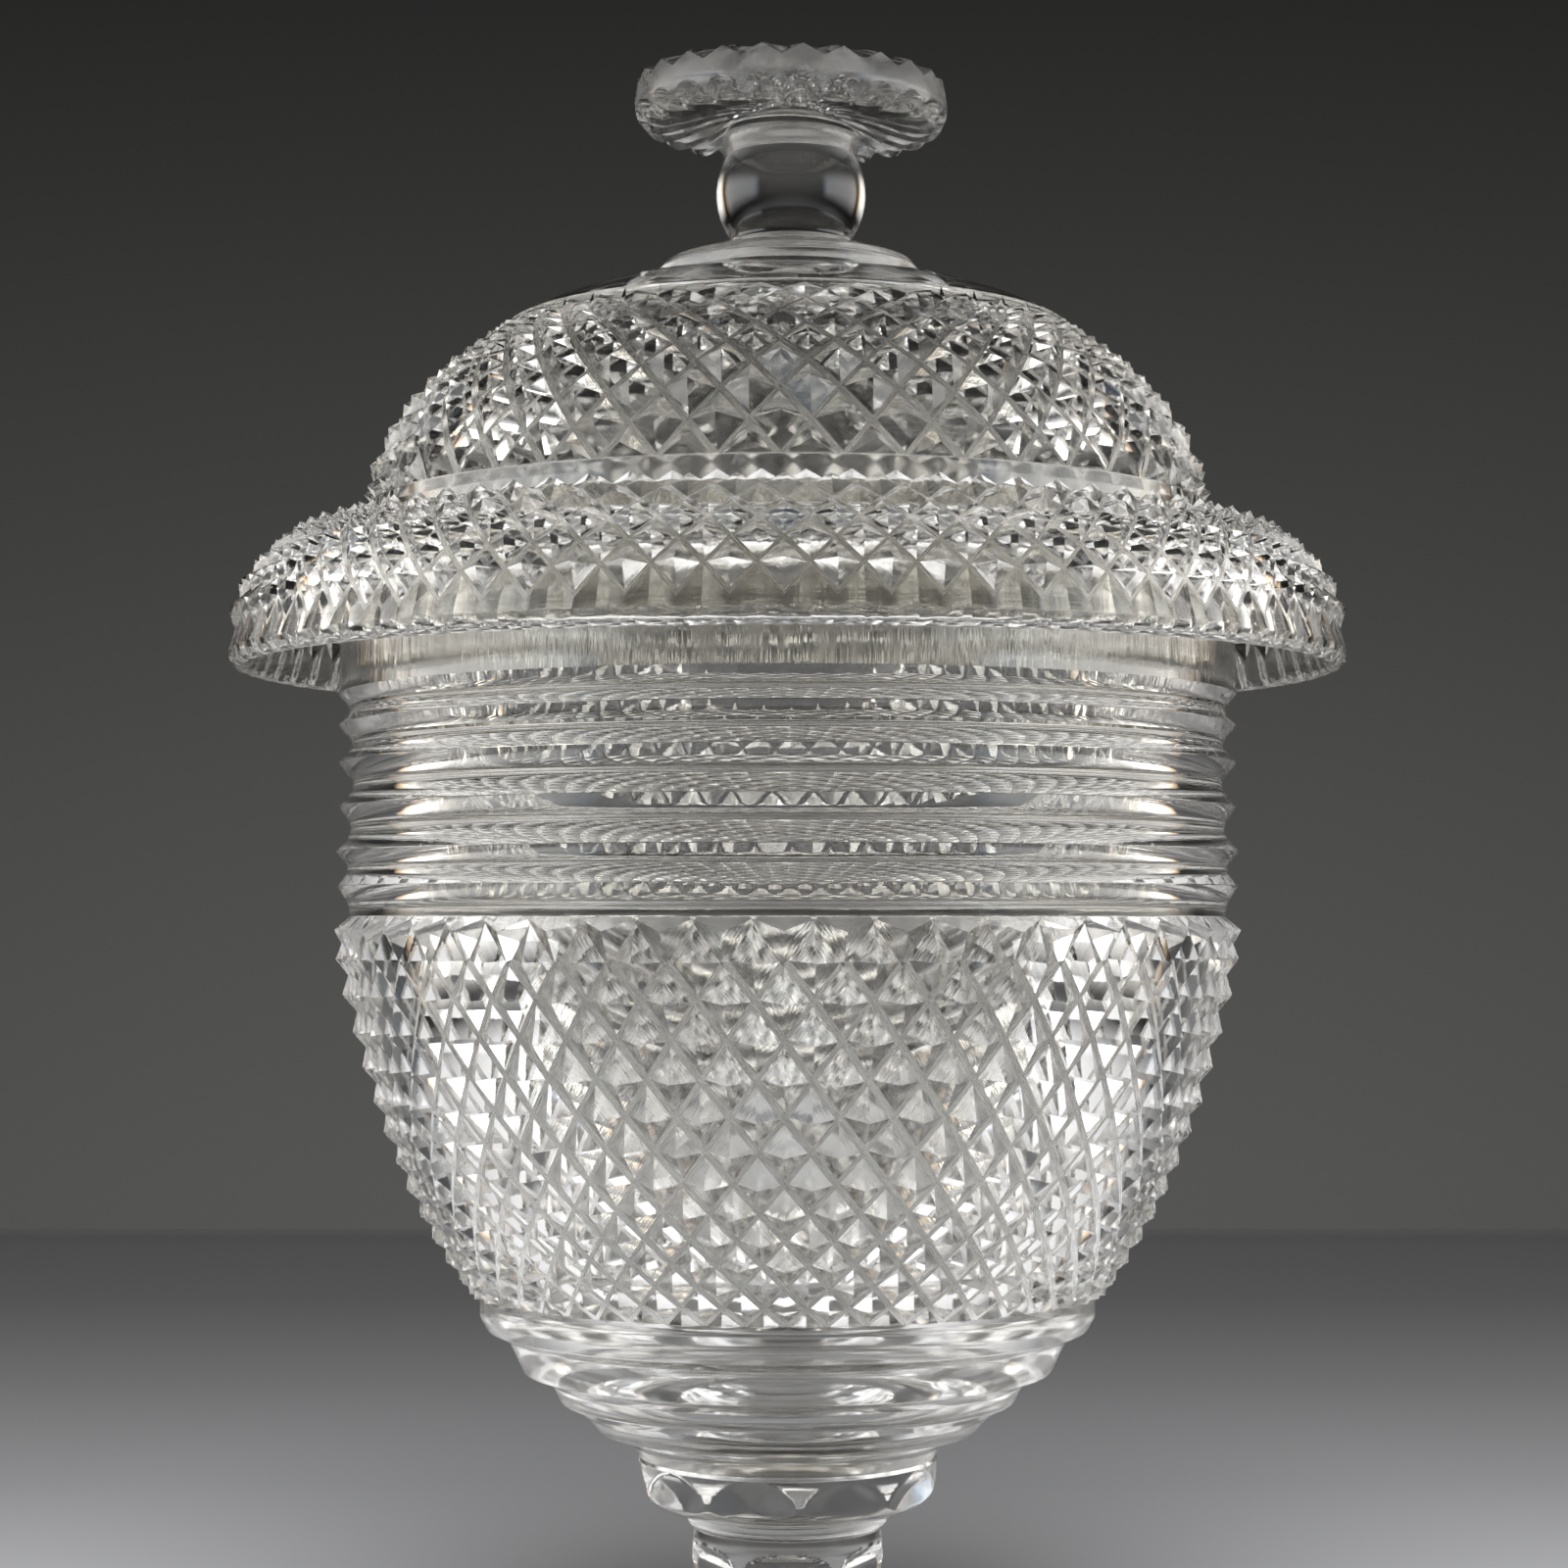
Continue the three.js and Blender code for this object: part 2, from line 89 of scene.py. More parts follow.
# ------------------------------------------------------------------------------------------------ mesh building
class Skin:
    """Points in mm and faces with their material and a streak coordinate: u across the polishing streaks, v along them."""

    def __init__(self):
        self.points, self.faces, self.mats, self.uvs = [], [], [], []

    def point(self, p):
        self.points.append((float(p[0]), float(p[1]), float(p[2])))
        return len(self.points) - 1

    def at(self, i):
        return np.array(self.points[i])

    def add(self, ids, mat, uv):
        self.faces.append(ids)
        self.mats.append(mat)
        self.uvs.append(uv)

    def facet(self, ids, mat, along, offset=None):
        """A flat face whose streaks run along a direction."""
        if offset is None:
            offset = rng.uniform(0, 400, 2)
        p = np.array([self.points[i] for i in ids])
        n = np.zeros(3)
        for a, b in zip(p, np.roll(p, -1, 0)):
            n += np.cross(a, b)
        n /= np.linalg.norm(n) + 1e-12
        v = along - n * (along @ n)
        v /= np.linalg.norm(v) + 1e-12
        u = np.cross(v, n)
        q = p - p[0]
        self.add(list(ids), mat, [(float(x @ u + offset[0]), float(x @ v + offset[1])) for x in q])

    def ring(self, angles, pts, s):
        return {"ids": [self.point(p) for p in pts], "ang": list(angles), "s": s}

    def round(self, r, z, n, s=0.0, phase=0.0, shape=None):
        """shape(angle, r, z) may return another (r, z)."""
        ang = [math.radians(phase) + TAU * k / n for k in range(n)]
        pts = []
        for a in ang:
            rr, zz = shape(a, r, z) if shape else (r, z)
            pts.append((rr * math.cos(a), rr * math.sin(a), zz))
        return self.ring(ang, pts, s)

    def band(self, a, b, mat):
        """Faces from ring a to ring b; they may have different numbers of points. The outside is on the right of a's way up."""
        m, n = len(a["ids"]), len(b["ids"])
        A0 = a["ang"][0]
        gaps = [min((x - A0) % TAU, (A0 - x) % TAU) for x in b["ang"]]
        j0 = int(np.argmin(gaps))
        first = (b["ang"][j0] - A0 + math.pi) % TAU - math.pi
        A = [A0 + (a["ang"][i % m] - A0) % TAU if i % m else A0 + TAU * (i // m) for i in range(m + 1)]
        B = []
        for j in range(n + 1):
            if j == 0:
                B.append(A0 + first)
            elif j == n:
                B.append(A0 + first + TAU)
            else:
                B.append(A0 + first + (b["ang"][(j0 + j) % n] - b["ang"][j0]) % TAU)
        ra = [np.hypot(*self.points[i][:2]) for i in a["ids"]]
        rb = [np.hypot(*self.points[i][:2]) for i in b["ids"]]
        ua = lambda i: (a["s"], A[i] * 70.0)
        ub = lambda j: (b["s"], B[j] * 70.0)
        i = j = 0
        while i < m or j < n:
            p, q = a["ids"][i % m], b["ids"][(j0 + j) % n]
            if i < m and j < n and abs(A[i + 1] - B[j + 1]) < 1e-6:
                p2, q2 = a["ids"][(i + 1) % m], b["ids"][(j0 + j + 1) % n]
                self.add([p, p2, q2, q], mat, [ua(i), ua(i + 1), ub(j + 1), ub(j)])
                i, j = i + 1, j + 1
            elif j >= n or (i < m and A[i + 1] <= B[j + 1]):
                p2 = a["ids"][(i + 1) % m]
                self.add([p, p2, q], mat, [ua(i), ua(i + 1), ub(j)])
                i += 1
            else:
                q2 = b["ids"][(j0 + j + 1) % n]
                self.add([p, q2, q], mat, [ua(i), ub(j + 1), ub(j)])
                j += 1

    def turned(self, profile, n, mat, phase=0.0, shape=None):
        s, last, rings = 0.0, None, []
        for r, z in profile:
            if last is not None:
                s += math.hypot(r - last[0], z - last[1])
            last = (r, z)
            rings.append(self.round(r, z, n, s, phase, shape))
        for a, b in zip(rings, rings[1:]):
            self.band(a, b, mat)
        return rings

    def pole(self, ring, z, mat, start, x=0.0):
        """Closes a ring with a fan round a point on the axis."""
        c = self.point((x, 0, z))
        n = len(ring["ids"])
        for k in range(n):
            p, q = ring["ids"][k], ring["ids"][(k + 1) % n]
            ids = [c, q, p] if start else [p, q, c]
            self.add(ids, mat, [tuple(self.points[i][:2]) for i in ids])

    def object(self, name, materials, sharp=18.0, bend=None):
        pts = np.array(self.points)
        if bend is not None:
            pts = bend(pts)
        mesh = bpy.data.meshes.new(name)
        mesh.from_pydata([tuple(p) for p in pts * MM], [], self.faces)
        for m in materials:
            mesh.materials.append(m)
        mesh.polygons.foreach_set("material_index", self.mats)
        mesh.polygons.foreach_set("use_smooth", [True] * len(self.faces))
        layer = mesh.uv_layers.new(name="streak")
        flat = [c for uv in self.uvs for c in uv]
        layer.data.foreach_set("uv", np.array(flat, np.float32).ravel())
        mesh.update()
        mesh.set_sharp_from_angle(angle=math.radians(sharp))
        mesh.validate()
        o = bpy.data.objects.new(name, mesh)
        bpy.context.scene.collection.objects.link(o)
        return o


def fillet(profile, steps=5):
    """Rounds the corners of a profile of (r, z) or (r, z, radius)."""
    out = [tuple(profile[0][:2])]
    for i in range(1, len(profile) - 1):
        p = profile[i]
        radius = p[2] if len(p) > 2 else 0
        c = np.array(p[:2], float)
        if radius <= 0:
            out.append(tuple(c))
            continue
        a, b = np.array(profile[i - 1][:2], float), np.array(profile[i + 1][:2], float)
        ua, ub = a - c, b - c
        la, lb = np.linalg.norm(ua), np.linalg.norm(ub)
        ua, ub = ua / la, ub / lb
        half = math.acos(max(-1, min(1, ua @ ub))) / 2
        cut = min(radius / math.tan(half), la * 0.48, lb * 0.48)
        p0, p1 = c + ua * cut, c + ub * cut
        for t in np.linspace(0, 1, steps + 1):
            out.append(tuple((1 - t) ** 2 * p0 + 2 * t * (1 - t) * c + t * t * p1))
    out.append(tuple(profile[-1][:2]))
    return out


def smooth_profile(points, per=6):
    """Catmull-Rom through (r, z) points."""
    p = [np.array(x, float) for x in points]
    out = []
    for i in range(len(p) - 1):
        p0, p1, p2, p3 = p[max(i - 1, 0)], p[i], p[i + 1], p[min(i + 2, len(p) - 1)]
        if i == 0:
            p0 = 2 * p1 - p2
        if i == len(p) - 2:
            p3 = 2 * p2 - p1
        for k in range(per):
            t = k / per
            v0, v1 = (p2 - p0) / 2, (p3 - p1) / 2
            out.append(tuple((2 * p1 - 2 * p2 + v0 + v1) * t**3 + (-3 * p1 + 3 * p2 - 2 * v0 - v1) * t**2 + v0 * t + p1))
    out.append(tuple(p[-1]))
    return out


def ring_profile(points):
    """Prism rings between valleys and ridges, upwards: the face below a ridge is flat, the one above it is hollow and runs
    out in a round valley. Returns the profile and the material of each step."""
    out, mats = [points[0]], []
    for (r0, z0), (r1, z1) in zip(points, points[1:]):
        if r1 > r0:
            z1 -= 0.07
            for k in range(1, 7):
                t = k / 6
                g = (t * t / 0.7 if t < 0.35 else t - 0.175) / 0.825
                out.append((r0 + (r1 - r0) * g, z0 + (z1 - z0) * t))
                mats.append(LATHE if k < 2 else TURNED)
        else:
            z0 += 0.07
            out.append((r0, z0))
            mats.append(TURNED)
            for k in range(1, 11):
                t = k / 10
                out.append((r1 + (r0 - r1) * (1 - t) ** 1.75, z0 + (z1 - z0) * t))
                mats.append(LATHE)
    return out, mats


class Envelope:
    """The surface through the diamonds' tips, followed upwards."""

    def __init__(self, points):
        p = [np.array(x, float) for x in points]
        self.table, s, last = [], 0.0, None
        N = 60 * (len(p) - 1)
        for i in range(N + 1):
            t = i / N * (len(p) - 1)
            k = min(int(t), len(p) - 2) if i < N else len(p) - 1
            w = t - k
            p0 = p[k if k == 0 else k - 1]
            p1 = p[k]
            p2 = p[len(p) - 1 if k > len(p) - 2 else k + 1]
            p3 = p[len(p) - 1 if k > len(p) - 3 else k + 2]
            v0, v1 = (p2 - p0) / 2, (p3 - p1) / 2
            q = (2 * p1 - 2 * p2 + v0 + v1) * w**3 + (-3 * p1 + 3 * p2 - 2 * v0 - v1) * w**2 + v0 * w + p1
            if last is not None:
                s += float(np.linalg.norm(q - last))
            self.table.append((s, float(q[0]), float(q[1])))
            last = q
        self.length = s

    def at(self, s):
        t, i = self.table, 1
        while i < len(t) - 1 and t[i][0] < s:
            i += 1
        a, b = t[i - 1], t[i]
        d = b[0] - a[0]
        f, dr, dz = (s - a[0]) / d, (b[1] - a[1]) / d, (b[2] - a[2]) / d
        return {"s": s, "r": a[1] + f * (b[1] - a[1]), "z": a[2] + f * (b[2] - a[2]), "nr": dz, "nz": -dr}

    def at_height(self, z):
        t, i = self.table, 1
        while i < len(t) - 1 and t[i][2] < z:
            i += 1
        f = (z - t[i - 1][2]) / (t[i][2] - t[i - 1][2])
        return t[i - 1][0] + f * (t[i][0] - t[i - 1][0])


def diamond_rows(env, stops, count):
    rows = []
    for j, s in enumerate(stops):
        e = env.at(s)
        before = s - stops[j - 1] if j > 0 else stops[1] - s
        after = stops[j + 1] - s if j < len(stops) - 1 else before
        wide, high = TAU * e["r"] / count, before + after
        apart = wide * high / math.hypot(wide, high)
        depth = max(0.5, DIAMOND_SLOPE * (apart - 1.1))
        rows.append({**e, "depth": depth, "apart": apart, "vr": e["r"] - depth * e["nr"], "vz": e["z"] - depth * e["nz"]})
    return rows


FACET, GROOVE, TURNED, PLAIN, LATHE, SATIN, BAND, BLOWN, SOFT = range(9)  # material places on every piece


def meet(p1, d1, w1, p2, d2, w2):
    """Where two lines meet after each has moved to its left by its w."""
    n1, n2 = np.array([-d1[1], d1[0]]), np.array([-d2[1], d2[0]])
    n1, n2 = n1 / np.linalg.norm(n1), n2 / np.linalg.norm(n2)
    return np.linalg.solve(np.array([n1, n2]), np.array([n1 @ p1 + w1, n2 @ p2 + w2]))


def diamonds(skin, rows, count, phase, low, high, wide_back, wide_fwd, border_low=None, border_high=None, jitter=0.1):
    """Pyramids between two sets of crossing grooves. Points (k, j) with k + j even are crossings, the others tips. Grooves
    that lean back, from upper left to lower right as seen from outside, are cut last: wider, and they run through."""
    n, J = 2 * count, len(rows) - 1
    ang = lambda k: math.radians(phase) + TAU * k / n
    biggest = max(r["apart"] for r in rows)
    side = rng.uniform(-1, 1, (n, J + 1, 3))

    def V(k, j):
        r, z = rows[j]["vr"], rows[j]["vz"]
        if j == J and border_high:
            r, z = border_high
        if j == 0 and border_low:
            r, z = border_low
        a = ang(k)
        return np.array([r * math.cos(a), r * math.sin(a), z])

    def tip(k, j, r, z):
        dx, dy, dz = side[k % n, j] * jitter
        a = ang(k) + dx / r
        row = rows[j]
        r, z = r + row["nr"] * (dz - 0.5 * jitter) + (-row["nz"]) * dy, z + row["nz"] * (dz - 0.5 * jitter) + row["nr"] * dy
        return np.array([r * math.cos(a), r * math.sin(a), z])

    corners, tips = {}, {}
    arcs = {}
    for j in range(J + 1):
        if j == 0 and low == "points":
            continue
        for k in range(n):
            if (k + j) % 2 == 0:
                continue
            size = 0.5 + 0.5 * rows[j]["apart"] / biggest
            wb, wf = wide_back * size / 2, wide_fwd * size / 2
            L, R = V(k - 1, j), V(k + 1, j)
            e1 = (R - L) / np.linalg.norm(R - L)
            if 0 < j < J:
                D, U = V(k, j - 1), V(k, j + 1)
                c = (L + R + D + U) / 4
                e2 = U - D
                e2 = e2 - e1 * (e2 @ e1)
                e2 /= np.linalg.norm(e2)
                nn = np.cross(e1, e2)
                q = {m: np.array([(p - c) @ e1, (p - c) @ e2]) for m, p in zip("LRDU", (L, R, D, U))}
                h = {m: (p - c) @ nn for m, p in zip("LRDU", (L, R, D, U))}
                lines = {
                    "DR": (q["D"], q["R"] - q["D"], wf), "RU": (q["R"], q["U"] - q["R"], wb),
                    "UL": (q["U"], q["L"] - q["U"], wf), "LD": (q["L"], q["D"] - q["L"], wb),
                }
                made = {}
                for m, (x, y) in {"D": ("LD", "DR"), "R": ("DR", "RU"), "U": ("RU", "UL"), "L": ("UL", "LD")}.items():
                    s = meet(*lines[x], *lines[y])
                    made[m] = skin.point(c + s[0] * e1 + s[1] * e2 + h[m] * nn)
                corners[k, j] = made
                T = skin.point(tip(k, j, rows[j]["r"], rows[j]["z"]))
                tips[k, j] = T
                for a, b in ("DR", "RU", "UL", "LD"):
                    skin.facet([made[a], made[b], T], FACET, skin.at(made[b]) - skin.at(made[a]))
            else:
                # a half pyramid on the border, with a conical end facet
                low_edge = j == 0
                F = V(k, 1 if low_edge else J - 1)
                c = (L + R) / 2
                e2 = F - c
                e2 = e2 - e1 * (e2 @ e1)
                e2 /= np.linalg.norm(e2)
                nn = np.cross(e1, e2)
                l, r_, f = (np.array([(p - c) @ e1, (p - c) @ e2]) for p in (L, R, F))
                row = rows[j]
                rb, zb = (row["vr"], row["vz"])
                if j == J and border_high:
                    rb, zb = border_high
                if j == 0 and border_low:
                    rb, zb = border_low
                if low_edge:
                    base = (l, r_ - l, 0.0)
                    right, left = (r_, f - r_, wb), (f, l - f, wf)
                    sl, sr, sf = meet(*left, *base), meet(*base, *right), meet(*right, *left)
                else:
                    base = (r_, l - r_, 0.0)
                    right, left = (f, r_ - f, wf), (l, f - l, wb)
                    sl, sr, sf = meet(*base, *left), meet(*right, *base), meet(*left, *right)
                made = {"U" if low_edge else "D": skin.point(c + sf[0] * e1 + sf[1] * e2)}
                al, ar = ang(k) + sl[0] / rb, ang(k) + sr[0] / rb
                arc_angles = [al + (ar - al) * t / 4 for t in range(5)]
                arc = [skin.point((rb * math.cos(a), rb * math.sin(a), zb)) for a in arc_angles]
                made["L"], made["R"] = arc[0], arc[-1]
                corners[k, j] = made
                arcs.setdefault(j, []).append((arc_angles, arc))
                o = rows[1 if low_edge else J - 1]
                T = skin.point(tip(k, j, row["r"] + (o["r"] - row["r"]) * END_FACET, row["z"] + (o["z"] - row["z"]) * END_FACET))
                tips[k, j] = T
                off = rng.uniform(0, 400, 2)
                for p, q in zip(arc, arc[1:]):
                    skin.facet([p, q, T] if low_edge else [q, p, T], FACET, skin.at(arc[-1]) - skin.at(arc[0]), off)
                if low_edge:
                    skin.facet([made["R"], made["U"], T], FACET, skin.at(made["U"]) - skin.at(made["R"]))
                    skin.facet([made["U"], made["L"], T], FACET, skin.at(made["L"]) - skin.at(made["U"]))
                else:
                    skin.facet([made["D"], made["R"], T], FACET, skin.at(made["R"]) - skin.at(made["D"]))
                    skin.facet([made["L"], made["D"], T], FACET, skin.at(made["D"]) - skin.at(made["L"]))
    # grooves
    get = lambda k, j: corners.get((k % n, j))
    waist, foot = {}, {}
    if low == "points":
        size = 0.5 + 0.5 * rows[1]["apart"] / biggest
        for k in range(n):
            c = V(k, 0 if k % 2 == 0 else 1)
            dn = V(k, 0) - V(k, 1)
            dn /= np.linalg.norm(dn)
            if k % 2 == 0:  # below a pyramid's lowest point
                up = get(k, 1)["D"]
                drop = np.linalg.norm(skin.at(up) - c)
                foot[k] = skin.point(c + dn * drop)
            else:
                up = get(k, 2)["D"]
                drop = np.linalg.norm(skin.at(up) - c)
                waist[k] = skin.point(c + dn * drop)
    v_of = {}

    def strip(ids, along, key):
        skin.facet(ids, GROOVE, along, key)

    for j in range(J + 1):
        for k in range(n):
            if (k + j) % 2 == 0:
                if low == "points" and j == 0:
                    continue
                around = [(get(k, j - 1), "U"), (get(k + 1, j), "L"), (get(k, j + 1), "D"), (get(k - 1, j), "R")]
                ids = [c[m] for c, m in around if c and m in c]
                if low == "points" and j == 1:
                    ids = [waist[k % n], get(k + 1, j)["L"], get(k, j + 1)["D"], get(k - 1, j)["R"]]
                if len(ids) >= 3:
                    a, b = get(k - 1, j), get(k + 1, j)
                    back = V(k + 1, max(j - 1, 0)) - V(k - 1, min(j + 1, J)) if j > 0 else V(k + 1, 0) - V(k, 1)
                    strip(ids, back, rng.uniform(0, 400, 2))
            else:
                A = get(k, j)
                if not A or j == J:
                    continue
                B = get(k + 1, j + 1)
                if B:
                    strip([A["R"], B["D"], B["L"], A["U"]], skin.at(B["D"]) - skin.at(B["L"]), rng.uniform(0, 400, 2))
                B = get(k - 1, j + 1)
                if B:
                    strip([B["D"], A["L"], A["U"], B["R"]], skin.at(A["U"]) - skin.at(A["L"]), rng.uniform(0, 400, 2))
                if low == "points" and j == 1:
                    left, right = waist[(k - 1) % n], waist[(k + 1) % n]
                    strip([left, foot[k], A["D"], A["L"]], skin.at(foot[k]) - skin.at(left), rng.uniform(0, 400, 2))
                    strip([foot[k], right, A["R"], A["D"]], skin.at(right) - skin.at(foot[k]), rng.uniform(0, 400, 2))

    def border_ring(j, s):
        pieces = sorted(arcs[j], key=lambda x: x[0][0])
        return {"ids": [i for a, ids in pieces for i in ids], "ang": [x for a, ids in pieces for x in a], "s": s}

    out = {"waist": waist, "foot": foot, "ang": ang, "n": n}
    if low == "cut":
        out["low"] = border_ring(0, 0.0)
    if high == "cut":
        out["high"] = border_ring(J, 0.0)
    return out


def stops_from(steps):
    out = [0.0]
    for s in steps:
        out.append(out[-1] + s)
    return out


# ------------------------------------------------------------------------------------------------ materials
def glass(name, colour, ior, rough, rough_spread, streak_across, streak_along, streak_height, wave_scale, wave_height, fine=0.0):
    """Clear lead glass. Polishing streaks follow the streak coordinates, and slow waves stand for the hand-held polishing."""
    m = bpy.data.materials.new(name)
    m.use_nodes = True
    nt = m.node_tree
    nt.nodes.clear()
    add, link = nt.nodes.new, nt.links.new
    out = add("ShaderNodeOutputMaterial")
    bsdf = add("ShaderNodeBsdfPrincipled")
    link(bsdf.outputs["BSDF"], out.inputs["Surface"])
    bsdf.inputs["Base Color"].default_value = (*colour, 1)
    bsdf.inputs["Metallic"].default_value = 0
    bsdf.inputs["IOR"].default_value = ior
    bsdf.inputs["Transmission Weight"].default_value = 1
    uv = add("ShaderNodeUVMap")
    uv.uv_map = "streak"
    scale = add("ShaderNodeMapping")
    scale.inputs["Scale"].default_value = (streak_across, streak_along, 1)
    link(uv.outputs["UV"], scale.inputs["Vector"])
    streak = add("ShaderNodeTexNoise")
    streak.inputs["Scale"].default_value = 1
    streak.inputs["Detail"].default_value = 3
    streak.inputs["Roughness"].default_value = 0.6
    link(scale.outputs["Vector"], streak.inputs["Vector"])
    # roughness: a little more where the streaks are deep
    ramp = add("ShaderNodeMapRange")
    ramp.inputs["From Min"].default_value = 0.35
    ramp.inputs["From Max"].default_value = 0.7
    ramp.inputs["To Min"].default_value = rough
    ramp.inputs["To Max"].default_value = rough + rough_spread
    link(streak.outputs["Fac"], ramp.inputs["Value"])
    link(ramp.outputs["Result"], bsdf.inputs["Roughness"])
    bump = add("ShaderNodeBump")
    bump.inputs["Strength"].default_value = 1
    bump.inputs["Distance"].default_value = streak_height * MM
    link(streak.outputs["Fac"], bump.inputs["Height"])
    coord = add("ShaderNodeTexCoord")
    wave = add("ShaderNodeTexNoise")
    wave.inputs["Scale"].default_value = wave_scale
    wave.inputs["Detail"].default_value = 2
    link(coord.outputs["Object"], wave.inputs["Vector"])
    bump2 = add("ShaderNodeBump")
    bump2.inputs["Strength"].default_value = 1
    bump2.inputs["Distance"].default_value = wave_height * MM
    link(wave.outputs["Fac"], bump2.inputs["Height"])
    link(bump.outputs["Normal"], bump2.inputs["Normal"])
    link(bump2.outputs["Normal"], bsdf.inputs["Normal"])
    return m


TINT = (0.985, 0.973, 0.937)
IOR = 1.545
facet_glass = glass("glass_facets", TINT, IOR, 0.0, 0.02, 1.5, 0.05, 0.026, 160, 0.03)
groove_glass = glass("glass_grooves", TINT, IOR, 0.16, 0.22, 5.0, 0.10, 0.035, 160, 0.02)
turned_glass = glass("glass_turned", TINT, IOR, 0.0, 0.015, 1.2, 0.02, 0.003, 90, 0.05)
plain_glass = glass("glass_plain", TINT, IOR, 0.0, 0.015, 0.3, 0.02, 0.006, 45, 0.06)
lathe_glass = glass("glass_ring_hollows", TINT, IOR, 0.0, 0.015, 1.2, 0.04, 0.003, 90, 0.05)
satin_glass = glass("glass_satin_band", TINT, IOR, 0.14, 0.10, 0.8, 0.25, 0.02, 120, 0.12)
band_glass = glass("glass_streaked_band", TINT, IOR, 0.03, 0.12, 0.02, 0.30, 0.22, 120, 0.06)
blown_glass = glass("glass_blown_inside", TINT, IOR, 0.0, 0.01, 0.12, 0.03, 0.01, 60, 0.08)
soft_glass = glass("glass_soft_polish", TINT, IOR, 0.055, 0.06, 0.5, 0.02, 0.004, 70, 0.08)
CUT = [facet_glass, groove_glass, turned_glass, plain_glass, lathe_glass, satin_glass, band_glass, blown_glass, soft_glass]
# painted shade: the finial's glass is tinted greyer than the rest, and its pad, bead and underside flutes are greyer
# still; it is also less highly polished
FINIAL_PAINTED_SHADE, FLUTE_PAINTED_SHADE, PAD_AND_BEAD_PAINTED_SHADE = (0.68, 0.672, 0.648), (0.51, 0.504, 0.486), (0.42, 0.415, 0.400)
finial_star_painted_shade = glass("glass_finial_star_painted_shade", FINIAL_PAINTED_SHADE, IOR, 0.0, 0.05, 1.6, 0.10, 0.006, 160, 0.03)
finial_flutes_painted_shade = glass("glass_finial_flutes_painted_shade", FLUTE_PAINTED_SHADE, IOR, 0.02, 0.04, 0.8, 0.04, 0.004, 90, 0.04)
finial_plain_painted_shade = glass("glass_finial_plain_painted_shade", FINIAL_PAINTED_SHADE, IOR, 0.01, 0.05, 0.3, 0.02, 0.006, 45, 0.06)
finial_band_painted_shade = glass("glass_finial_band_painted_shade", FINIAL_PAINTED_SHADE, IOR, 0.13, 0.08, 0.5, 0.15, 0.015, 100, 0.08)
finial_pad_and_bead_painted_shade = glass("glass_finial_pad_and_bead_painted_shade", PAD_AND_BEAD_PAINTED_SHADE, IOR, 0.12, 0.08, 0.5, 0.15, 0.010, 80, 0.08)
# the finial's places carry the painted-shade tints: the star, knop and side band take the grey one, the underside
# flutes the darker one, and the pad and bead the darkest
FINIAL = [finial_star_painted_shade, groove_glass, finial_flutes_painted_shade, finial_plain_painted_shade, lathe_glass, finial_band_painted_shade, finial_pad_and_bead_painted_shade, blown_glass, soft_glass]


# ------------------------------------------------------------------------------------------------ vessel
def make_bowl():
    s = Skin()
    steps = fillet([
        (24.7, 78.0), (26.0, 79.9, 0.5), (27.0, 80.9, 0.4), (28.6, 81.3, 0.5), (31.7, 82.4, 0.6), (33.6, 84.8, 0.6), (34.9, 85.8, 0.4),
        (38.0, 87.3, 0.6), (39.4, 90.2, 0.6), (40.8, 91.2, 0.4), (44.1, 92.3, 0.6), (46.1, 96.4, 0.5), (46.8, 97.9, 0.4), (50.2, 99.4, 0.6),
        (51.3, 101.4, 0.5), (51.35, 103.4),
    ])
    joint = s.round(*steps[0], 240, 0.0, COLLAR_PHASE)  # the collar's last ring
    low = s.turned(steps[1:], N_BODY, SOFT)
    s.band(joint, low[0], SOFT)
    env = Envelope(BOWL_ENVELOPE)
    rows = diamond_rows(env, [env.at_height(z) for z in BOWL_ROW_Z], BOWL_DIAMONDS)
    cut = diamonds(s, rows, BOWL_DIAMONDS, BOWL_PHASE, "cut", "cut", 1.25, 0.85)
    cut["low"]["s"] = low[-1]["s"] + 1
    s.band(low[-1], cut["low"], TURNED)
    neck, mats = ring_profile([
        (73.2, 168.7), (75.2, 172.6), (73.5, 175.6), (75.4, 178.3), (73.0, 182.1), (74.9, 185.7), (72.7, 189.5), (75.0, 192.9),
        (72.9, 196.3), (75.0, 199.2), (73.3, 201.8), (75.0, 204.4),
    ])
    neck, mats = [(73.15, 167.5)] + neck + [(75.0, 206.5), (75.0, 212), (75.0, 217), (NECK_R, Z_NECK_TOP)], [TURNED] + mats + [BAND] * 4
    up, arc = [], 0.0
    for i, (r, z) in enumerate(neck):
        if i:
            arc += math.hypot(r - neck[i - 1][0], z - neck[i - 1][1])
        up.append(s.round(r, z, N_BODY, arc))
    for a, b, m in zip(up, up[1:], mats):
        s.band(a, b, m)
    cut["high"]["s"] = -1
    s.band(cut["high"], up[0], TURNED)
    inside = smooth_profile([
        (68, 222), (68, 210), (68, 195), (68, 180), (67.9, 168), (66.6, 154), (63.6, 141), (59.0, 128.5), (52.6, 116.5), (44.0, 105.5),
        (32.5, 97), (17, 91.8), (6, 90.6),
    ], 5)
    ins, arc = [], 0.0
    for i, (r, z) in enumerate(inside):
        if i:
            arc += math.dist(inside[i], inside[i - 1])
        ins.append(s.round(r, z, N_BODY, arc))
    for a, b, (_, z) in zip(ins, ins[1:], inside):
        s.band(a, b, PLAIN if z > 166 else BLOWN)
    s.pole(ins[-1], 90.5, BLOWN, False)
    return s.object("bowl_glass", CUT)


